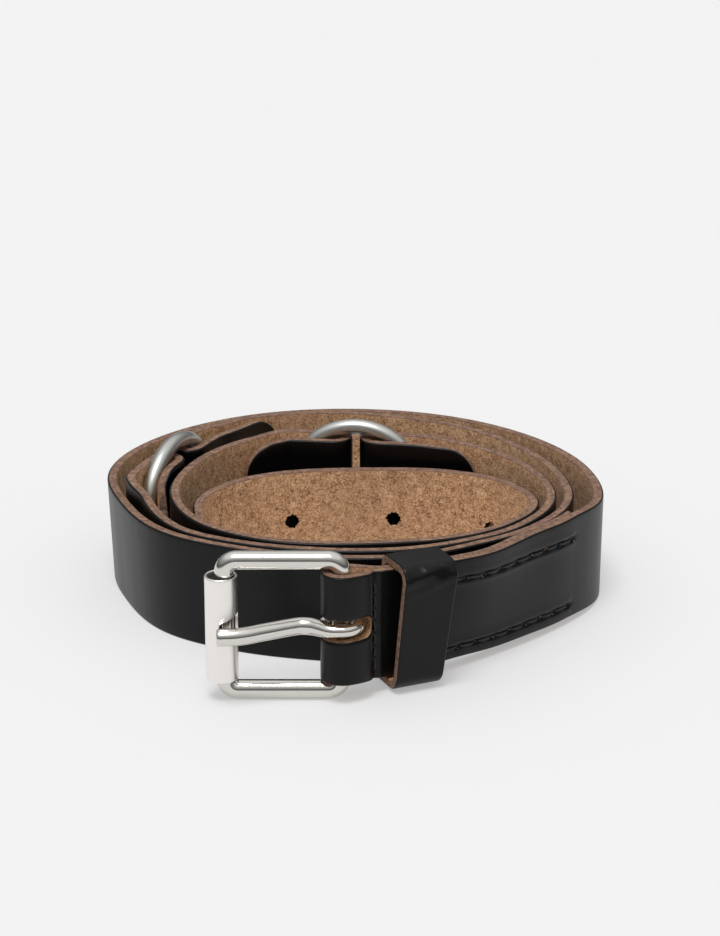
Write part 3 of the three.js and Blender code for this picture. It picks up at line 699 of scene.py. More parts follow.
def box_leather(name, gloss):
    """Box leather, dyed black, glazed and polished on its grain side.

    To the eye it is near black, with a pebble that only roughens its sheen, faint creases, and a low gloss
    that is worn unevenly along the strap. The streaks and creases are longer upright than along.
    """
    material, tree, place = empty_material(name)
    pebble = add_node(tree, "TexVoronoi", {"Vector": place, "Scale": per_metre(PEBBLE)})
    pores = add_node(tree, "TexNoise", {"Vector": place, "Scale": per_metre(PORE), "Detail": 2.0,
                                        "Roughness": 0.55})
    cloud = add_node(tree, "TexNoise", {"Vector": place, "Scale": per_metre(DYE_CLOUD), "Detail": 3.0,
                                        "Roughness": 0.55})
    worn_place = add_node(tree, "Mapping", {"Vector": place, "Scale": (1, 1, 0.12)})
    worn = add_node(tree, "TexNoise", {"Vector": worn_place.outputs[0], "Scale": per_metre(WORN_STREAK),
                                       "Detail": 3.0, "Roughness": 0.55})
    crease_place = add_node(tree, "Mapping", {"Vector": place, "Scale": (1, 1, 0.35)})
    crease = add_node(tree, "TexNoise", {"Vector": crease_place.outputs[0], "Scale": per_metre(CREASE),
                                         "Detail": 4.0, "Roughness": 0.6})
    dye = add_node(tree, "ValToRGB", {0: cloud.outputs["Fac"]}, ((0.35, "#030304"), (0.7, "#080708")))
    worn_part = add_node(tree, "Math", {0: worn.outputs["Fac"], 1: 0.6}, operation="MULTIPLY")
    pore_part = add_node(tree, "Math", {0: pores.outputs["Fac"], 1: 0.4}, operation="MULTIPLY")
    wear = add_node(tree, "Math", {0: worn_part.outputs[0], 1: pore_part.outputs[0]}, operation="ADD")
    rough = add_node(tree, "ValToRGB", {0: wear.outputs[0]}, ((0.35, gloss), (0.7, gloss + 0.14)))
    low_pebble = add_node(tree, "Math", {0: pebble.outputs["Distance"], 1: 0.7}, operation="MULTIPLY")
    height = add_node(tree, "Math", {0: low_pebble.outputs[0], 1: pores.outputs["Fac"]}, operation="ADD")
    fine = add_node(tree, "Bump", {"Height": height.outputs[0], "Strength": 0.2, "Distance": 0.00004})
    creased = add_node(tree, "Bump", {"Height": crease.outputs["Fac"], "Strength": 0.25, "Distance": 0.0003,
                                      "Normal": fine.outputs[0]})
    shader = add_node(tree, "BsdfPrincipled", {"Base Color": dye.outputs[0], "Roughness": rough.outputs[0],
                                               "Normal": creased.outputs[0], "Specular IOR Level": 0.24})
    add_node(tree, "OutputMaterial", {"Surface": shader.outputs[0]})
    return material


def cut_edge(name):
    """Vegetable-tanned leather, cut with a knife and left raw.

    To the eye it is packed brown fibre, paler and rougher than the flesh side, with darker stained stretches.
    """
    material, tree, place = empty_material(name)
    fibre = add_node(tree, "TexNoise", {"Vector": place, "Scale": per_metre(CUT_FIBRE), "Detail": 5.0,
                                        "Roughness": 0.65})
    stain = add_node(tree, "TexNoise", {"Vector": place, "Scale": per_metre(EDGE_STAIN), "Detail": 3.0,
                                        "Roughness": 0.55})
    pale = add_node(tree, "ValToRGB", {0: fibre.outputs["Fac"]}, ((0.35, 0.0), (0.68, 1.0)))
    brown = add_node(tree, "Mix", {0: pale.outputs[0], 6: "#5a453a", 7: "#a5826b"}, data_type="RGBA")
    dark = add_node(tree, "ValToRGB", {0: stain.outputs["Fac"]}, ((0.3, 0.0), (0.8, 0.55)))
    colour = add_node(tree, "Mix", {0: dark.outputs[0], 6: brown.outputs[2], 7: "#6c5449"}, data_type="RGBA")
    bump = add_node(tree, "Bump", {"Height": fibre.outputs["Fac"], "Strength": 0.6, "Distance": 0.00025})
    shader = add_node(tree, "BsdfPrincipled", {"Base Color": colour.outputs[2], "Roughness": 0.78,
                                               "Normal": bump.outputs[0], "Specular IOR Level": 0.25})
    add_node(tree, "OutputMaterial", {"Surface": shader.outputs[0]})
    return material


def suede_flesh(name):
    """Vegetable-tanned leather's flesh side, split and buffed to a short suede nap.

    To the eye it is dull, mottled light and dark brown, with pale loose fibres and broad darker shades.
    """
    material, tree, place = empty_material(name)
    nap = add_node(tree, "TexNoise", {"Vector": place, "Scale": per_metre(NAP), "Detail": 4.0,
                                      "Roughness": 0.75})
    clump = add_node(tree, "TexNoise", {"Vector": place, "Scale": per_metre(NAP_CLUMP), "Detail": 4.0,
                                        "Roughness": 0.6})
    shade = add_node(tree, "TexNoise", {"Vector": place, "Scale": per_metre(NAP_SHADE), "Detail": 3.0,
                                        "Roughness": 0.55})
    nap_part = add_node(tree, "Math", {0: nap.outputs["Fac"], 1: 0.7}, operation="MULTIPLY")
    clump_part = add_node(tree, "Math", {0: clump.outputs["Fac"], 1: 0.3}, operation="MULTIPLY")
    mottle = add_node(tree, "Math", {0: nap_part.outputs[0], 1: clump_part.outputs[0]}, operation="ADD")
    browns = add_node(tree, "ValToRGB", {0: mottle.outputs[0]},
                      ((0.37, "#5a402e"), (0.46, "#ae835f"), (0.55, "#d9ad84"), (0.67, "#f6d7b5")))
    dark = add_node(tree, "ValToRGB", {0: shade.outputs["Fac"]}, ((0.35, 0.0), (0.75, 0.35)))
    colour = add_node(tree, "Mix", {0: dark.outputs[0], 6: browns.outputs[0], 7: "#ab876a"}, data_type="RGBA")
    bump = add_node(tree, "Bump", {"Height": mottle.outputs[0], "Strength": 0.55, "Distance": 0.0004})
    shader = add_node(tree, "BsdfPrincipled", {"Base Color": colour.outputs[2], "Roughness": 0.92,
                                               "Normal": bump.outputs[0], "Sheen Weight": 0.04,
                                               "Sheen Roughness": 0.6, "Specular IOR Level": 0.12})
    add_node(tree, "OutputMaterial", {"Surface": shader.outputs[0]})
    return material


def nickel_plate(name, tone, rough):
    """Nickel plate on steel, buffed on a cloth wheel.

    To the eye it is a bright warm grey mirror, softened by a faint haze and by marks along the buffing.
    """
    material, tree, place = empty_material(name)
    haze = add_node(tree, "TexNoise", {"Vector": place, "Scale": per_metre(PLATE_HAZE), "Detail": 4.0,
                                       "Roughness": 0.55})
    marks_place = add_node(tree, "Mapping", {"Vector": place, "Scale": (1, 1, 6)})
    marks = add_node(tree, "TexNoise", {"Vector": marks_place.outputs[0], "Scale": per_metre(BUFFING_MARK),
                                        "Detail": 3.0, "Roughness": 0.55})
    haze_part = add_node(tree, "Math", {0: haze.outputs["Fac"], 1: 0.7}, operation="MULTIPLY")
    marks_part = add_node(tree, "Math", {0: marks.outputs["Fac"], 1: 0.3}, operation="MULTIPLY")
    dull = add_node(tree, "Math", {0: haze_part.outputs[0], 1: marks_part.outputs[0]}, operation="ADD")
    spread = add_node(tree, "ValToRGB", {0: dull.outputs[0]}, ((0.35, rough), (0.75, rough + 0.1)))
    bump = add_node(tree, "Bump", {"Height": haze.outputs["Fac"], "Strength": 0.05, "Distance": 0.0001})
    shader = add_node(tree, "BsdfPrincipled", {"Base Color": tone, "Metallic": 1.0,
                                               "Roughness": spread.outputs[0], "Normal": bump.outputs[0]})
    add_node(tree, "OutputMaterial", {"Surface": shader.outputs[0]})
    return material


def waxed_thread(name):
    """Linen thread, twisted, dyed black and drawn through wax. To the eye it is black with a fine twist."""
    material, tree, place = empty_material(name)
    twist_place = add_node(tree, "Mapping", {"Vector": place, "Scale": (1, 1, 3)})
    twist = add_node(tree, "TexNoise", {"Vector": twist_place.outputs[0], "Scale": per_metre(THREAD_TWIST),
                                        "Detail": 2.0, "Roughness": 0.55})
    colour = add_node(tree, "ValToRGB", {0: twist.outputs["Fac"]}, ((0.35, "#030303"), (0.75, "#161413")))
    bump = add_node(tree, "Bump", {"Height": twist.outputs["Fac"], "Strength": 0.5, "Distance": 0.0001})
    shader = add_node(tree, "BsdfPrincipled", {"Base Color": colour.outputs[0], "Roughness": 0.55,
                                               "Normal": bump.outputs[0]})
    add_node(tree, "OutputMaterial", {"Surface": shader.outputs[0]})
    return material


def matt_paper(name, tone, glow):
    """Matt white paper that glows with painted light of its own. To the eye it is an even pale grey with soft
    weak shadows.
    """
    material, tree, _ = empty_material(name)
    # Painted light: the emission makes the floor glow though it is no lamp, and this weakens the shadows cast
    # on it
    shader = add_node(tree, "BsdfPrincipled", {"Base Color": tone, "Roughness": 0.85,
                                               "Specular IOR Level": 0.2, "Emission Color": "#ffffff",
                                               "Emission Strength": glow})
    add_node(tree, "OutputMaterial", {"Surface": shader.outputs[0]})
    return material


def leather_materials():
    """The three surfaces of the straps, made once: grain, cut edge and flesh."""
    names = ("polished_box_leather", "raw_cut_edge", "suede_flesh_side")
    found = [bpy.data.materials.get(name) for name in names]
    if all(found):
        return found
    gloss = bpy.context.scene.belt_looks.gloss
    return [box_leather(names[GRAIN], gloss), cut_edge(names[EDGE]), suede_flesh(names[FLESH])]


def strap_rings(path, start_corner, end_corner, face_steps, seed, relief=None, fine=()):
    """A strap's surface: at each station along its path, the cross-section stands across the path's way.

    Upright, the section is lifted and leans outwards as the path says. The faces wander slightly, and relief
    adds a height on the grain face. At each end one narrower section rounds the cut off.
    """
    steps = along_steps(path["run"][-1], start_corner, end_corner, fine)
    at = {key: np.interp(steps, path["run"], path[key]) for key in ("lift", "lean", "thick")}
    point = np.stack([np.interp(steps, path["run"], path["point"][:, k]) for k in (0, 1)], 1)
    normal = np.stack([np.interp(steps, path["run"], path["normal"][:, k]) for k in (0, 1)], 1)
    normal /= np.linalg.norm(normal, axis=1)[:, None]
    half = np.full(len(steps), STRAP_WIDTH / 2)
    if start_corner:
        half = np.minimum(half, half_width(steps, start_corner))
    if end_corner:
        half = np.minimum(half, half_width(steps[-1] - steps, end_corner))
    across, up, kind = profile(at["thick"], half, face_steps)
    run = steps[:, None]
    outer = across > 0
    across = across + np.where(outer, wander(run, up, seed, GRAIN_WAVE),
                               wander(run, up, seed + 1, FLESH_WAVE))
    up = up + wander(run, 0 * up, seed + 2, EDGE_WAVE)
    if relief is not None:
        across = across + relief(run, up, across)
    shift = across + at["lean"][:, None] * (up + STRAP_WIDTH / 2)
    rings = np.zeros(across.shape + (3,))
    rings[..., 0] = point[:, 0, None] + normal[:, 0, None] * shift + SHIFT[0]
    rings[..., 1] = point[:, 1, None] + normal[:, 1, None] * shift + SHIFT[1]
    rings[..., 2] = np.maximum(at["lift"][:, None] + STRAP_WIDTH / 2 + up, 0.02)
    way = np.stack([normal[:, 1], -normal[:, 0], 0 * normal[:, 0]], axis=1)
    caps = []
    for index, sign in ((0, -1), (-1, 1)):
        ring = rings[index]
        middle = ring - np.outer(across[index], np.append(normal[index], 0)) * CAP_INSET
        caps.append(middle + way[index] * sign * CAP_REACH)
    rings = np.concatenate([caps[0][None], rings, caps[1][None]])
    return rings, kind


def frayed_hole(place, way, height, seed):
    """A punch for a torn round hole: a column whose outline has short uneven teeth."""
    rng = np.random.default_rng(seed)
    angle = np.linspace(0, 2 * math.pi, HOLE_TEETH, endpoint=False)
    outward = 0.3 * rng.random(HOLE_TEETH) ** 2
    inward = 0.16 * rng.random(HOLE_TEETH) ** 2
    radius = HOLE_DIAMETER / 2 * (0.98 + outward - inward)
    along = np.array([way[0], way[1], 0.0])
    across = np.array([-way[1], way[0], 0.0])
    rings = []
    for depth in np.linspace(-4, 4, 5):
        ring = (np.outer(radius * np.cos(angle), along) + np.outer(radius * np.sin(angle), [0, 0, 1])
                + across * depth + np.array([place[0], place[1], height]) + SHIFT)
        rings.append(ring)
    return build_mesh("punch", np.array(rings))


def cut(piece, cutters, kind=GRAIN):
    """Cuts meshes out of a piece for good; the cut walls get the piece's surface of that kind."""
    scene = bpy.context.scene.collection
    for mesh in cutters:
        for material in piece.data.materials:
            mesh.materials.append(material)
        mesh.polygons.foreach_set("material_index", np.full(len(mesh.polygons), kind, np.int32))
        tool = bpy.data.objects.new("cutter", mesh)
        scene.objects.link(tool)
        modifier = piece.modifiers.new("cut", "BOOLEAN")
        modifier.operation = "DIFFERENCE"
        modifier.solver = "EXACT"
        modifier.object = tool
        graph = bpy.context.evaluated_depsgraph_get()
        result = bpy.data.meshes.new_from_object(piece.evaluated_get(graph), depsgraph=graph)
        piece.modifiers.remove(modifier)
        old = piece.data
        result.name = old.name
        result.set_sharp_from_angle(angle=math.radians(50))
        piece.data = result
        bpy.data.objects.remove(tool)
        bpy.data.meshes.remove(mesh)
        bpy.data.meshes.remove(old)


def build_tip_strap():
    """The tip strap's surface, with five torn punched holes."""
    path = tip_path()
    rings, kind = strap_rings(path, TIP_ROUND, TAB_ROUND, np.linspace(0, 1, 25), 1.0)
    mesh = build_mesh("strap_tip", rings, kind)
    piece = place_piece(mesh, "belt", ("strap_tip_segment",), leather_materials())
    cutters = []
    for k in range(HOLE_COUNT):
        run = TIP_TO_HOLE + k * HOLE_SPACING
        index = int(np.argmin(np.abs(COIL["run"] - run)))
        way = COIL["point"][index + 1] - COIL["point"][index - 1]
        way /= np.linalg.norm(way)
        height = STRAP_WIDTH / 2 + COIL["lift"][index]
        cutters.append(frayed_hole(COIL["point"][index], way, height, 10 + k))
    cut(piece, cutters)
    return piece


def build_middle_strap():
    """The middle strap's surface, folded through both rings."""
    rings, kind = strap_rings(middle_path(), TAB_ROUND, TAB_ROUND, np.linspace(0, 1, 21), 4.0)
    return place_piece(build_mesh("strap_middle", rings, kind), "belt", ("strap_middle_segment",),
                       leather_materials())


def stitch_runs():
    """The stitches' pitch, their first place as a distance from the fold, and how many there are in a row."""
    looks = bpy.context.scene.belt_looks
    first = KEEPER_PLACE + KEEPER_LENGTH / 2 + 1.2 + BAR_FOLD
    return looks.stitch_pitch * 1000, first, looks.stitches


def row_height(share, row):
    """A long row's height from the strap's middle: each runs from one distance to another from its edge."""
    inset = STRAP_WIDTH / 2 - mix(row[0], row[1], share)
    return inset if row is UPPER_ROW else -inset


def slot_away(rings):
    """How far points lie outside the slot's outline, seen square to the doubled end at the bar."""
    turn = math.radians(DOUBLED_TURN)
    base = np.array([BAR_X, BAR_Y, BUCKLE_HEIGHT]) + SHIFT
    place = rings - base
    along = place[..., 0] * math.cos(turn) + place[..., 1] * math.sin(turn)
    half = SLOT_HEIGHT / 2
    past = np.maximum(along - (SLOT_REACH - half), 0)
    return np.hypot(past, place[..., 2]) - half


def build_buckle_strap():
    """The buckle strap's surface, with puckered stitch lines and a bevelled slot for the prong."""
    path = buckle_path()
    pitch, first, count = stitch_runs()
    fold = path["run"][int(np.argmin(np.abs(path["from_fold"])))]

    def relief(run, up, across):
        """Grooves where the thread pulls the grain in: a bell curve across each row, with low shoulders.

        Their depth beats with the stitches, and one more bell curve along the strap is the row across it.
        """
        before = fold - run
        share = np.clip((before - first) / (count * pitch), 0, 1)
        last = first + count * pitch
        within = smooth(before, first - 1.5, first) * (1 - smooth(before, last, last + 2))
        beat = 0.7 + 0.3 * np.cos(2 * math.pi * (before - first) / pitch)
        depth = 0 * up
        for row in (UPPER_ROW, LOWER_ROW):
            away = np.abs(up - row_height(share, row))
            groove = np.exp(-((away / GROOVE_SPREAD) ** 2)) * beat
            shoulder = SHOULDER_RISE * np.exp(-(((away - SHOULDER_AT) / SHOULDER_SPREAD) ** 2))
            depth = depth + (groove - shoulder) * within
        pinch = np.exp(-(((before - CROSS_ROW) / PINCH_SPREAD) ** 2)) * (1.3 + 0.2 * np.cos(up * 1.9))
        front = (across > 0) & (before > 0)
        return np.where(front, -STITCH_DEPTH * (depth + pinch), 0)

    face = np.concatenate([np.linspace(0, 1, 21), np.linspace(0.065, 0.165, 11), np.linspace(0.74, 0.86, 13),
                           np.linspace(0.36, 0.64, 29)])
    face = np.unique(face.round(4))
    if len(face) % 2 == 0:
        face = np.delete(face, 1)
    fine = ((fold - 17, fold + 9), (fold - first - count * pitch - 2, fold - first + 2))
    rings, kind = strap_rings(path, TAB_ROUND, 0.0, face, 7.0, relief, fine)
    away = slot_away(rings)
    near = (np.abs(run_along(rings.mean(axis=1)) - fold) < BEVEL_REACH)[:, None] & (kind == GRAIN)
    sink = SLOT_SINK * smooth(SLOT_BEVEL - away, 0, SLOT_BEVEL) * near
    middle = rings.mean(axis=1, keepdims=True)
    way = middle - rings
    way[..., 2] = 0
    length = np.maximum(np.linalg.norm(way, axis=2, keepdims=True), 1e-6)
    rings = rings + way / length * sink[..., None]
    mesh = build_mesh("strap_buckle", rings, kind)
    piece = place_piece(mesh, "belt", ("strap_buckle_segment",), leather_materials())
    cut(piece, [slot_cutter()], FLESH)
    return piece


def slot_cutter():
    """A slot with a round end, wider at both faces, square to the doubled end at the bar."""
    half = SLOT_HEIGHT / 2
    back = -BAR_FOLD - LEATHER - 1
    angle = np.radians(np.linspace(-90, 90, 17))
    outline = [(back, -half)] + [(SLOT_REACH - half + half * math.cos(a), half * math.sin(a)) for a in angle]
    outline.append((back, half))
    outline = np.array(outline)
    turn = math.radians(DOUBLED_TURN)
    way = np.array([math.cos(turn), math.sin(turn), 0.0])
    out = np.array([math.sin(turn), -math.cos(turn), 0.0])
    base = np.array([BAR_X, BAR_Y, BUCKLE_HEIGHT]) + SHIFT
    rings = []
    for depth in np.linspace(-9, 9, 7):
        rings.append(base + np.outer(outline[:, 0], way) + np.outer(outline[:, 1], [0, 0, 1]) + out * depth)
    return build_mesh("slot", np.array(rings))


def wire_rings(path, across, radii, sides, closed):
    """A round wire along a flat path: each circle stands square to the way, set out by its radius."""
    if closed:
        along = np.roll(path, -1, axis=0) - np.roll(path, 1, axis=0)
    else:
        along = np.gradient(path, axis=0)
    along /= np.linalg.norm(along, axis=1)[:, None]
    side = np.cross(along, across)
    side /= np.linalg.norm(side, axis=1)[:, None]
    angle = np.linspace(0, 2 * math.pi, sides, endpoint=False)
    radii = np.asarray(radii) * np.ones(len(path))
    return (path[:, None] + side[:, None] * (radii[:, None] * np.cos(angle))[..., None]
            + np.asarray(across)[None, None] * (radii[:, None] * np.sin(angle))[..., None])


def build_ring(stop):
    """A plain ring of round wire, standing on the floor between a strap and its folded tabs."""
    centre = stop["place"] - stop["out"] * RING_FOLD
    angle = np.linspace(0, 2 * math.pi, RING_STEPS, endpoint=False)
    way = np.append(stop["along"], 0)
    path = (np.append(centre, RING_HEIGHT) + SHIFT + RING_RADIUS * np.outer(np.cos(angle), way)
            + RING_RADIUS * np.outer(np.sin(angle), [0, 0, 1]))
    rings = wire_rings(path, np.append(stop["out"], 0), RING_WIRE / 2, WIRE_SIDES, True)
    return build_mesh(stop["name"] + "_wire", rings, closed=True)


def bar_place():
    """The bar's middle in the part's frame."""
    return np.array([BAR_X, BAR_Y, BUCKLE_HEIGHT]) + SHIFT


def corner_arcs(centres, radii, steps):
    """Four quarter turns, anticlockwise from the upper right: each centre plus its radius times the turn."""
    angle = np.radians(90 * np.arange(4)[:, None] + np.linspace(0, 90, steps))
    turn = np.stack([np.cos(angle), np.sin(angle)], axis=-1)
    return centres[:, None] + np.reshape(radii, (4, 1, 1)) * turn


def build_frame():
    """The buckle's frame: an upright rectangle of round wire with round corners and straight runs between."""
    right, left = -BUCKLE_CORNER, BUCKLE_CORNER - BUCKLE_REACH
    high = BUCKLE_RISE - BUCKLE_CORNER
    centres = np.array([(right, high), (left, high), (left, -high), (right, -high)])
    arcs = corner_arcs(centres, [BUCKLE_CORNER] * 4, 15)
    runs = mix(arcs[:, -1:], np.roll(arcs, -1, axis=0)[:, :1], np.linspace(0, 1, 9)[1:-1, None])
    line = np.concatenate([arcs, runs], axis=1).reshape(-1, 2)
    path = np.stack([line[:, 0], 0 * line[:, 0], line[:, 1]], axis=1)
    rings = wire_rings(path + bar_place(), np.array([0, 1, 0]), BUCKLE_WIRE / 2, WIRE_SIDES, True)
    return build_mesh("frame_wire", rings, closed=True)


def build_prong():
    """The prong: an eye round the bar, a bend back to the frame, and a straight thicker run to the roller."""
    eye = BUCKLE_WIRE / 2 + PIVOT_PLAY + EYE_WIRE / 2
    front = ROLLER_RADIUS + PRONG_REST + PRONG_WIRE / 2
    end = -BUCKLE_REACH - PRONG_TIP
    angle = np.radians(np.linspace(165, -90, 25))
    round_bar = np.stack([eye * np.cos(angle), eye * np.sin(angle), 0 * angle], axis=1)
    share, rise, swell = np.array(PRONG_SHANK).T
    shank = np.stack([end * share, -mix(PRONG_BACK, front, rise), -PRONG_DROOP * share**2], axis=1)
    radii = np.append(np.full(len(angle), EYE_WIRE / 2), mix(EYE_WIRE, PRONG_WIRE, swell) / 2)
    path, radii = spline(np.concatenate([round_bar, shank]), radii, PRONG_STEPS)
    path, radii = rounded_ends(path, radii, 0.5)
    rings = wire_rings(path + bar_place(), np.array([0, 0, 1]), radii, PRONG_SIDES, False)
    return build_mesh("prong_wire", rings)


def spline(path, radii, count):
    """A smooth line through points, at even steps, with radii carried along."""
    run = run_along(path)
    even = np.linspace(0, run[-1], count)
    slope = np.gradient(path, run, axis=0)
    low = np.clip(np.searchsorted(run, even, side="right") - 1, 0, len(run) - 2)
    width = run[low + 1] - run[low]
    t = ((even - run[low]) / width)[:, None]
    w = width[:, None]
    out = ((2 * t**3 - 3 * t**2 + 1) * path[low] + (t**3 - 2 * t**2 + t) * w * slope[low]
           + (3 * t**2 - 2 * t**3) * path[low + 1] + (t**3 - t**2) * w * slope[low + 1])
    return out, np.interp(even, run, radii)


def rounded_ends(path, radii, corner):
    """Narrows a wire's two ends over a short corner, so that their rims are soft."""
    start = (path[0] - path[1]) / np.linalg.norm(path[0] - path[1])
    stop = (path[-1] - path[-2]) / np.linalg.norm(path[-1] - path[-2])
    angle = np.radians([30, 60, 90])
    head = [path[0] + start * corner * math.sin(a) for a in angle[::-1]]
    head_radii = [radii[0] - corner * (1 - math.cos(a)) for a in angle[::-1]]
    tail = [path[-1] + stop * corner * (math.sin(a) - 1) for a in angle]
    tail_radii = [radii[-1] - corner * (1 - math.cos(a)) for a in angle]
    last = np.linalg.norm(path - path[-1], axis=1) > corner
    return (np.concatenate([head, path[last], tail]), np.concatenate([head_radii, radii[last], tail_radii]))


def build_roller():
    """The roller: a tube's outline of radius and height, with soft rims, carried round a full turn."""
    inside = ROLLER_RADIUS - ROLLER_SHEET
    rim = ROLLER_SHEET / 2
    side = np.linspace(rim - ROLLER_LENGTH / 2, ROLLER_LENGTH / 2 - rim, 40)
    arc = np.radians(np.linspace(0, 180, 9))
    middle = (inside + ROLLER_RADIUS) / 2
    radius = np.concatenate([np.full(40, ROLLER_RADIUS), middle + rim * np.cos(arc[1:]),
                             np.full(39, inside), middle - rim * np.cos(arc[1:-1])])
    height = np.concatenate([side, side[-1] + rim * np.sin(arc[1:]),
                             side[-2::-1], side[0] - rim * np.sin(arc[1:-1])])
    centre = bar_place() + np.array([-BUCKLE_REACH - ROLLER_HANG, 0, -ROLLER_DROP])
    angle = np.linspace(0, 2 * math.pi, ROLLER_STEPS, endpoint=False)
    rings = np.stack([np.outer(np.cos(angle), radius), np.outer(np.sin(angle), radius),
                      np.tile(height, (len(angle), 1))], axis=-1)
    return build_mesh("roller_tube", rings + centre, closed=True), centre


def notch_cutter(centre):
    """The roller's notch: a block with a rounded corner on each side of the prong's end."""
    half = (PRONG_WIRE + 2 * NOTCH_PLAY) / 2
    corner = 1.6
    angle = np.radians(np.linspace(0, 90, 8))
    low = -NOTCH_DEPTH
    outline = [(9.0, -half - 1.2), (4.0, -half - 1.2)]
    outline += [(low + corner - corner * math.sin(a), -half + corner - corner * math.cos(a)) for a in angle]
    outline += [(low + corner - corner * math.cos(a), half - corner + corner * math.sin(a)) for a in angle]
    outline += [(4.0, half + 1.2), (9.0, half + 1.2)]
    outline = np.array(outline)
    place = centre + np.array([0, 0, ROLLER_DROP - PRONG_DROOP])
    rings = []
    for y in (-8.0, -4.0, 0.0):
        ring = np.zeros((len(outline), 3))
        ring[:, 0] = outline[:, 0]
        ring[:, 1] = y
        ring[:, 2] = outline[:, 1]
        rings.append(ring + place)
    return build_mesh("notch", np.array(rings))


def keeper_place():
    """The keeper's middle and the way along the strap inside it."""
    line = doubled_line()[::-1]
    run = run_along(line)
    point = np.array([np.interp(KEEPER_PLACE, run, line[:, k]) for k in (0, 1)])
    index = int(np.searchsorted(run, KEEPER_PLACE))
    way = line[index + 1] - line[index - 1]
    turn = math.atan2(way[1], way[0]) + math.radians(KEEPER_TURN)
    return point, turn


def build_keeper():
    """The keeper: a loop of thin leather, black outside and brown within, round the doubled end.

    A rounded rectangle, bent forward at its top, carries the strap's cross-section turned to lie along the
    strap. Near one corner of its outer face, ripples of three crossing waves stand for crumpled leather.
    """
    point, turn = keeper_place()
    back = SEAM_GAP / 2 + TAIL_LEATHER + KEEPER_PLAY + KEEPER_BACK
    front = SEAM_GAP / 2 + LEATHER + KEEPER_SPACE
    top = STRAP_WIDTH / 2 + KEEPER_PLAY
    sides = np.array([(back, top), (-front, top), (-front, -top), (back, -top)])
    centres = sides + np.sign(sides) * (KEEPER_LEATHER / 2 - np.array(KEEPER_CORNERS)[:, None])
    path = corner_arcs(centres, KEEPER_CORNERS, 9).reshape(-1, 2)
    path = np.concatenate([path, path[:1]])
    run = run_along(path)
    count = 260
    even = np.linspace(0, run[-1], count, endpoint=False)
    path = np.stack([np.interp(even, run, path[:, k]) for k in (0, 1)], 1)
    along = np.roll(path, -1, axis=0) - np.roll(path, 1, axis=0)
    along /= np.linalg.norm(along, axis=1)[:, None]
    out = np.stack([along[:, 1], -along[:, 0]], 1)
    below = (top - path[:, 1]) / (2 * top)
    half = KEEPER_LENGTH / 2 * (1 - KEEPER_TAPER * below)
    across, along_strap, kind = profile(np.full(count, KEEPER_LEATHER), half, np.linspace(0, 1, 17))
    crumpled = CRUMPLE * np.exp(-(((even - CRUMPLE_AT) / CRUMPLE_SPAN) ** 2))[:, None]
    bent = even[:, None]
    ripple = (np.sin(along_strap * 0.9 + bent * 0.7) * np.cos(bent * 1.1 - along_strap * 0.3)
              + 0.5 * np.sin(along_strap * 2.3 - bent * 1.3 + 1.2 * np.sin(along_strap * 0.8)))
    across = across + np.where(across > 0, crumpled * ripple, 0)
    along_strap = along_strap - KEEPER_SLIDE - KEEPER_SKEW * (below[:, None] - 0.25)
    rings = np.zeros(across.shape + (3,))
    depth = path[:, 0, None] + out[:, 0, None] * across - KEEPER_LEAN * (1 - below[:, None])
    height = path[:, 1, None] + out[:, 1, None] * across
    way = np.array([math.cos(turn), math.sin(turn)])
    backwards = np.array([-way[1], way[0]])
    base_z = float(doubled_lift(np.array(KEEPER_PLACE))) + STRAP_WIDTH / 2
    for k in (0, 1):
        rings[..., k] = point[k] + way[k] * along_strap + backwards[k] * depth + SHIFT[k]
    rings[..., 2] = base_z + height
    return build_mesh("keeper_band", rings, kind, closed=True)


def stitch_tube(a, b, out, depth, thick):
    """One stitch: a thread that comes out of the leather, lies along it and goes in again."""
    t = np.linspace(0, 1, 9)
    path = a + np.outer(t, b - a)
    rise = np.clip(np.minimum(t, 1 - t) / 0.16, 0, 1)
    path = path + np.outer((rise - 1) * depth + thick * 0.25, out)
    cross = np.cross(out, (b - a) / np.linalg.norm(b - a))
    return wire_rings(path, cross, thick / 2, 8, False)


def strap_spot(path, run, up):
    """A place in a stitch groove, at a run along the strap and a height from its middle, and the way out."""
    point = np.array([np.interp(run, path["run"], path["point"][:, k]) for k in (0, 1)])
    normal = np.array([np.interp(run, path["run"], path["normal"][:, k]) for k in (0, 1)])
    normal /= np.linalg.norm(normal)
    lift, lean, leather = (np.interp(run, path["run"], path[key]) for key in ("lift", "lean", "thick"))
    point = point + normal * (leather / 2 + lean * (up + STRAP_WIDTH / 2) - GROOVE_FLOOR)
    return np.array([point[0], point[1], lift + STRAP_WIDTH / 2 + up]) + SHIFT, np.append(normal, 0)


def build_stitches():
    """Black thread in the doubled end: one row across before the keeper and two rows along after it."""
    path = buckle_path()
    pitch, first, count = stitch_runs()
    thick = bpy.context.scene.belt_looks.thread * 1000
    fold = path["run"][int(np.argmin(np.abs(path["from_fold"])))]
    rng = np.random.default_rng(3)
    tubes = []
    for row in (UPPER_ROW, LOWER_ROW):
        for k in range(count):
            low = (k + 0.1 + rng.uniform(-0.06, 0.06)) / count
            high = (k + 0.86 + rng.uniform(-0.08, 0.06)) / count
            low_up = row_height(low, row) + rng.uniform(-0.2, 0.2)
            high_up = row_height(high, row) + rng.uniform(-0.2, 0.2)
            a, out = strap_spot(path, fold - first - low * count * pitch, low_up)
            b, _ = strap_spot(path, fold - first - high * count * pitch, high_up)
            tubes.append(stitch_tube(a, b, out, STITCH_SINK, thick))
    inset = STRAP_WIDTH / 2 - CROSS_INSET
    for k in range(CROSS_STITCHES):
        low = mix(-inset, inset, (k + 0.08) / CROSS_STITCHES)
        high = mix(-inset, inset, (k + 0.9) / CROSS_STITCHES)
        a, out = strap_spot(path, fold - CROSS_ROW, low)
        b, _ = strap_spot(path, fold - CROSS_ROW, high)
        tubes.append(stitch_tube(a - out * 0.3, b - out * 0.3, out, STITCH_SINK, thick))
    return merged("stitch_thread", tubes)


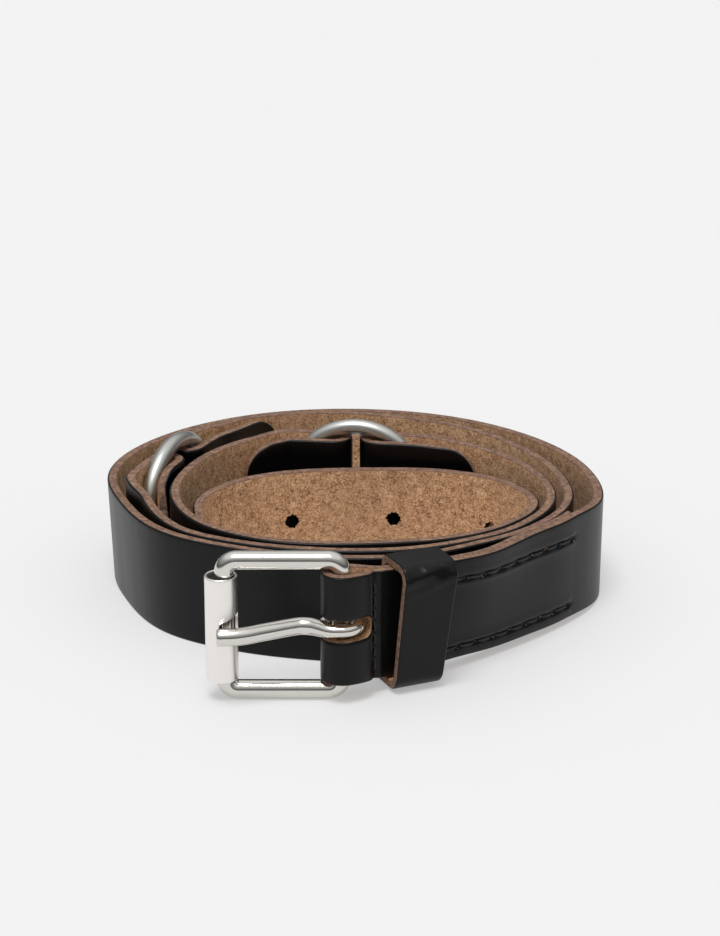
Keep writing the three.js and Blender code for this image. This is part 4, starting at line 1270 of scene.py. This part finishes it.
def build_fibres():
    """Short pale fibres that stand out of the leather where the two long rows of stitches go in."""
    path = buckle_path()
    pitch, first, count = stitch_runs()
    fold = path["run"][int(np.argmin(np.abs(path["from_fold"])))]
    rng = np.random.default_rng(8)
    tubes = []
    for row in (UPPER_ROW, LOWER_ROW):
        for k in range(count + 1):
            for _ in range(FIBRES_AT_HOLE):
                share = k / count + rng.uniform(-0.02, 0.02)
                run = fold - first - share * count * pitch
                a, out = strap_spot(path, run, row_height(share, row) + rng.uniform(-0.4, 0.4))
                way = rng.normal(size=3)
                way = way / np.linalg.norm(way) + out * 0.5
                b = a + way / np.linalg.norm(way) * rng.uniform(*FIBRE_LENGTHS) + out * 0.15
                line = a + np.outer(np.linspace(0, 1, 4), b - a)
                tubes.append(wire_rings(line, np.cross(way, out + (0, 0, 0.1)), FIBRE / 2, 4, False))
    return merged("stitch_fibres", tubes)


class BeltLooks(bpy.types.PropertyGroup):
    """Sizes and colours that a user would change."""

    gloss: bpy.props.FloatProperty(name="Gloss", description="Roughness of the grain side", default=0.3,
                                   min=0.05, max=0.9)
    stitch_pitch: bpy.props.FloatProperty(name="Stitch pitch", description="Distance between stitches",
                                          default=0.00525, unit="LENGTH")
    stitches: bpy.props.IntProperty(name="Stitches", description="Stitches in each long row", default=8)
    thread: bpy.props.FloatProperty(name="Thread", description="Diameter of the thread", default=0.00078,
                                    unit="LENGTH")
    metal: bpy.props.FloatVectorProperty(name="Metal", description="Colour of the buckle's plate", size=4,
                                         default=linear("#d9d6d0"), subtype="COLOR", min=0, max=1)
    roller_metal: bpy.props.FloatVectorProperty(name="Roller metal", description="Colour of the roller",
                                                size=4, default=linear("#f4f0ec"), subtype="COLOR",
                                                min=0, max=1)
    ring_metal: bpy.props.FloatVectorProperty(name="Ring metal", description="Colour of the rings", size=4,
                                              default=linear("#c4c4c0"), subtype="COLOR", min=0, max=1)
    sky: bpy.props.FloatProperty(name="Sky", description="Strength of the studio light", default=0.88, min=0)
    key: bpy.props.FloatProperty(name="Key", description="Strength of the key light", default=1.75, min=0)
    floor: bpy.props.FloatVectorProperty(name="Floor", description="Colour of the floor", size=4,
                                         default=linear("#b2b2b2"), subtype="COLOR", min=0, max=1)
    # The floor's glow is painted light: it weakens the shadows on the floor
    glow: bpy.props.FloatProperty(name="Glow", description="Light given off by the floor, as a light table",
                                  default=0.37, min=0)


class BELT_OT_straps(bpy.types.Operator):
    """Builds the three straps."""

    bl_idname = "belt.straps"
    bl_label = "Straps"

    def execute(self, context):
        build_tip_strap()
        build_middle_strap()
        build_buckle_strap()
        return {"FINISHED"}


class BELT_OT_keeper(bpy.types.Operator):
    """Builds the keeper loop."""

    bl_idname = "belt.keeper"
    bl_label = "Keeper"

    def execute(self, context):
        place_piece(build_keeper(), "belt", ("keeper_loop",), leather_materials())
        return {"FINISHED"}


class BELT_OT_stitches(bpy.types.Operator):
    """Sews the doubled end."""

    bl_idname = "belt.stitches"
    bl_label = "Stitches"

    def execute(self, context):
        place_piece(build_stitches(), "belt", (), [waxed_thread("waxed_black_thread")])
        place_piece(build_fibres(), "belt", (), [leather_materials()[FLESH]])
        return {"FINISHED"}


class BELT_OT_rings(bpy.types.Operator):
    """Builds the two rings."""

    bl_idname = "belt.rings"
    bl_label = "Rings"

    def execute(self, context):
        metal = nickel_plate("satin_nickel_plate", tuple(context.scene.belt_looks.ring_metal), 0.3)
        for stop in STOPS:
            place_piece(build_ring(stop), "belt", (stop["name"],), [metal])
        return {"FINISHED"}


class BELT_OT_buckle(bpy.types.Operator):
    """Builds the buckle's frame, prong and roller."""

    bl_idname = "belt.buckle"
    bl_label = "Buckle"

    def execute(self, context):
        looks = context.scene.belt_looks
        metal = nickel_plate("polished_nickel_plate", tuple(looks.metal), 0.12)
        sheet = nickel_plate("nickel_plated_sheet", tuple(looks.roller_metal), 0.3)
        place_piece(build_frame(), "frame", ("buckle_frame",), [metal])
        place_piece(build_prong(), "prong", ("buckle_prong",), [metal])
        mesh, centre = build_roller()
        roller = place_piece(mesh, "roller", ("buckle_roller",), [sheet])
        cut(roller, [notch_cutter(centre)])
        return {"FINISHED"}


# The stage: the sky's tone by height, the key light's size and turn, the floor and the camera
SKY_TONES = ((0.0, 0.14), (0.12, 0.08), (0.3, 0.28), (0.55, 0.5), (0.72, 0.95), (1.0, 1.0))
KEY_SIZE = math.radians(24)
KEY_TURN = (math.radians(18), math.radians(-6), 0)
FLOOR_HALF = 6.0
CAMERA_PLACE = (0.71, -635.7, 254.5)
CAMERA_TILT = math.radians(70.5)
CAMERA_LENS = 109.85


def studio_world(strength):
    """A soft studio: white light from overhead that dims towards the horizon, the same on every side."""
    world = bpy.data.worlds.new("studio")
    world.use_nodes = True
    tree = world.node_tree
    tree.nodes.clear()
    place = add_node(tree, "TexCoord", {})
    split = add_node(tree, "SeparateXYZ", {0: place.outputs["Generated"]})
    ramp = add_node(tree, "ValToRGB", {0: split.outputs["Z"]}, SKY_TONES)
    background = add_node(tree, "Background", {0: ramp.outputs[0], 1: strength})
    add_node(tree, "OutputWorld", {"Surface": background.outputs[0]})
    return world


class BELT_OT_stage(bpy.types.Operator):
    """Sets the floor, the lights and the camera."""

    bl_idname = "belt.stage"
    bl_label = "Stage"

    def execute(self, context):
        scene = context.scene
        looks = scene.belt_looks
        half = FLOOR_HALF
        corners = [(-half, -half, 0), (half, -half, 0), (half, half, 0), (-half, half, 0)]
        mesh = bpy.data.meshes.new("floor")
        mesh.from_pydata(corners, [], [(0, 1, 2, 3)])
        mesh.materials.append(matt_paper("matt_white_paper", tuple(looks.floor), looks.glow))
        floor = bpy.data.objects.new("floor", mesh)
        scene.collection.objects.link(floor)
        scene.world = studio_world(looks.sky)
        lamp = bpy.data.lights.new("key_light", "SUN")
        lamp.energy = looks.key
        lamp.angle = KEY_SIZE
        key = bpy.data.objects.new("key_light", lamp)
        key.rotation_euler = KEY_TURN
        scene.collection.objects.link(key)
        camera = bpy.data.cameras.new("camera")
        camera.lens = CAMERA_LENS
        camera.sensor_width = 36
        camera.sensor_fit = "AUTO"
        camera.clip_end = 20
        eye = bpy.data.objects.new("camera", camera)
        eye.location = tuple((np.array(CAMERA_PLACE) + SHIFT) * 0.001)
        eye.rotation_euler = (CAMERA_TILT, 0, 0)
        scene.collection.objects.link(eye)
        scene.camera = eye
        scene.view_settings.view_transform = "Standard"
        return {"FINISHED"}


class BELT_PT_panel(bpy.types.Panel):
    """Lists the belt's operators and looks."""

    bl_idname = "BELT_PT_panel"
    bl_label = "Leather ring belt"
    bl_space_type = "VIEW_3D"
    bl_region_type = "UI"
    bl_category = "Belt"

    def draw(self, context):
        for name in BeltLooks.__annotations__:
            self.layout.prop(context.scene.belt_looks, name)
        for operator in OPERATORS:
            self.layout.operator(operator.bl_idname)


OPERATORS = (BELT_OT_stage, BELT_OT_straps, BELT_OT_keeper, BELT_OT_stitches, BELT_OT_rings, BELT_OT_buckle)
CLASSES = (BeltLooks,) + OPERATORS + (BELT_PT_panel,)


def register():
    for cls in CLASSES:
        bpy.utils.register_class(cls)
    bpy.types.Scene.belt_looks = bpy.props.PointerProperty(type=BeltLooks)


def unregister():
    del bpy.types.Scene.belt_looks
    for cls in reversed(CLASSES):
        bpy.utils.unregister_class(cls)


def main():
    register()
    bpy.ops.belt.stage()
    bpy.ops.belt.straps()
    bpy.ops.belt.keeper()
    bpy.ops.belt.stitches()
    bpy.ops.belt.rings()
    bpy.ops.belt.buckle()


if __name__ == "__main__":
    main()
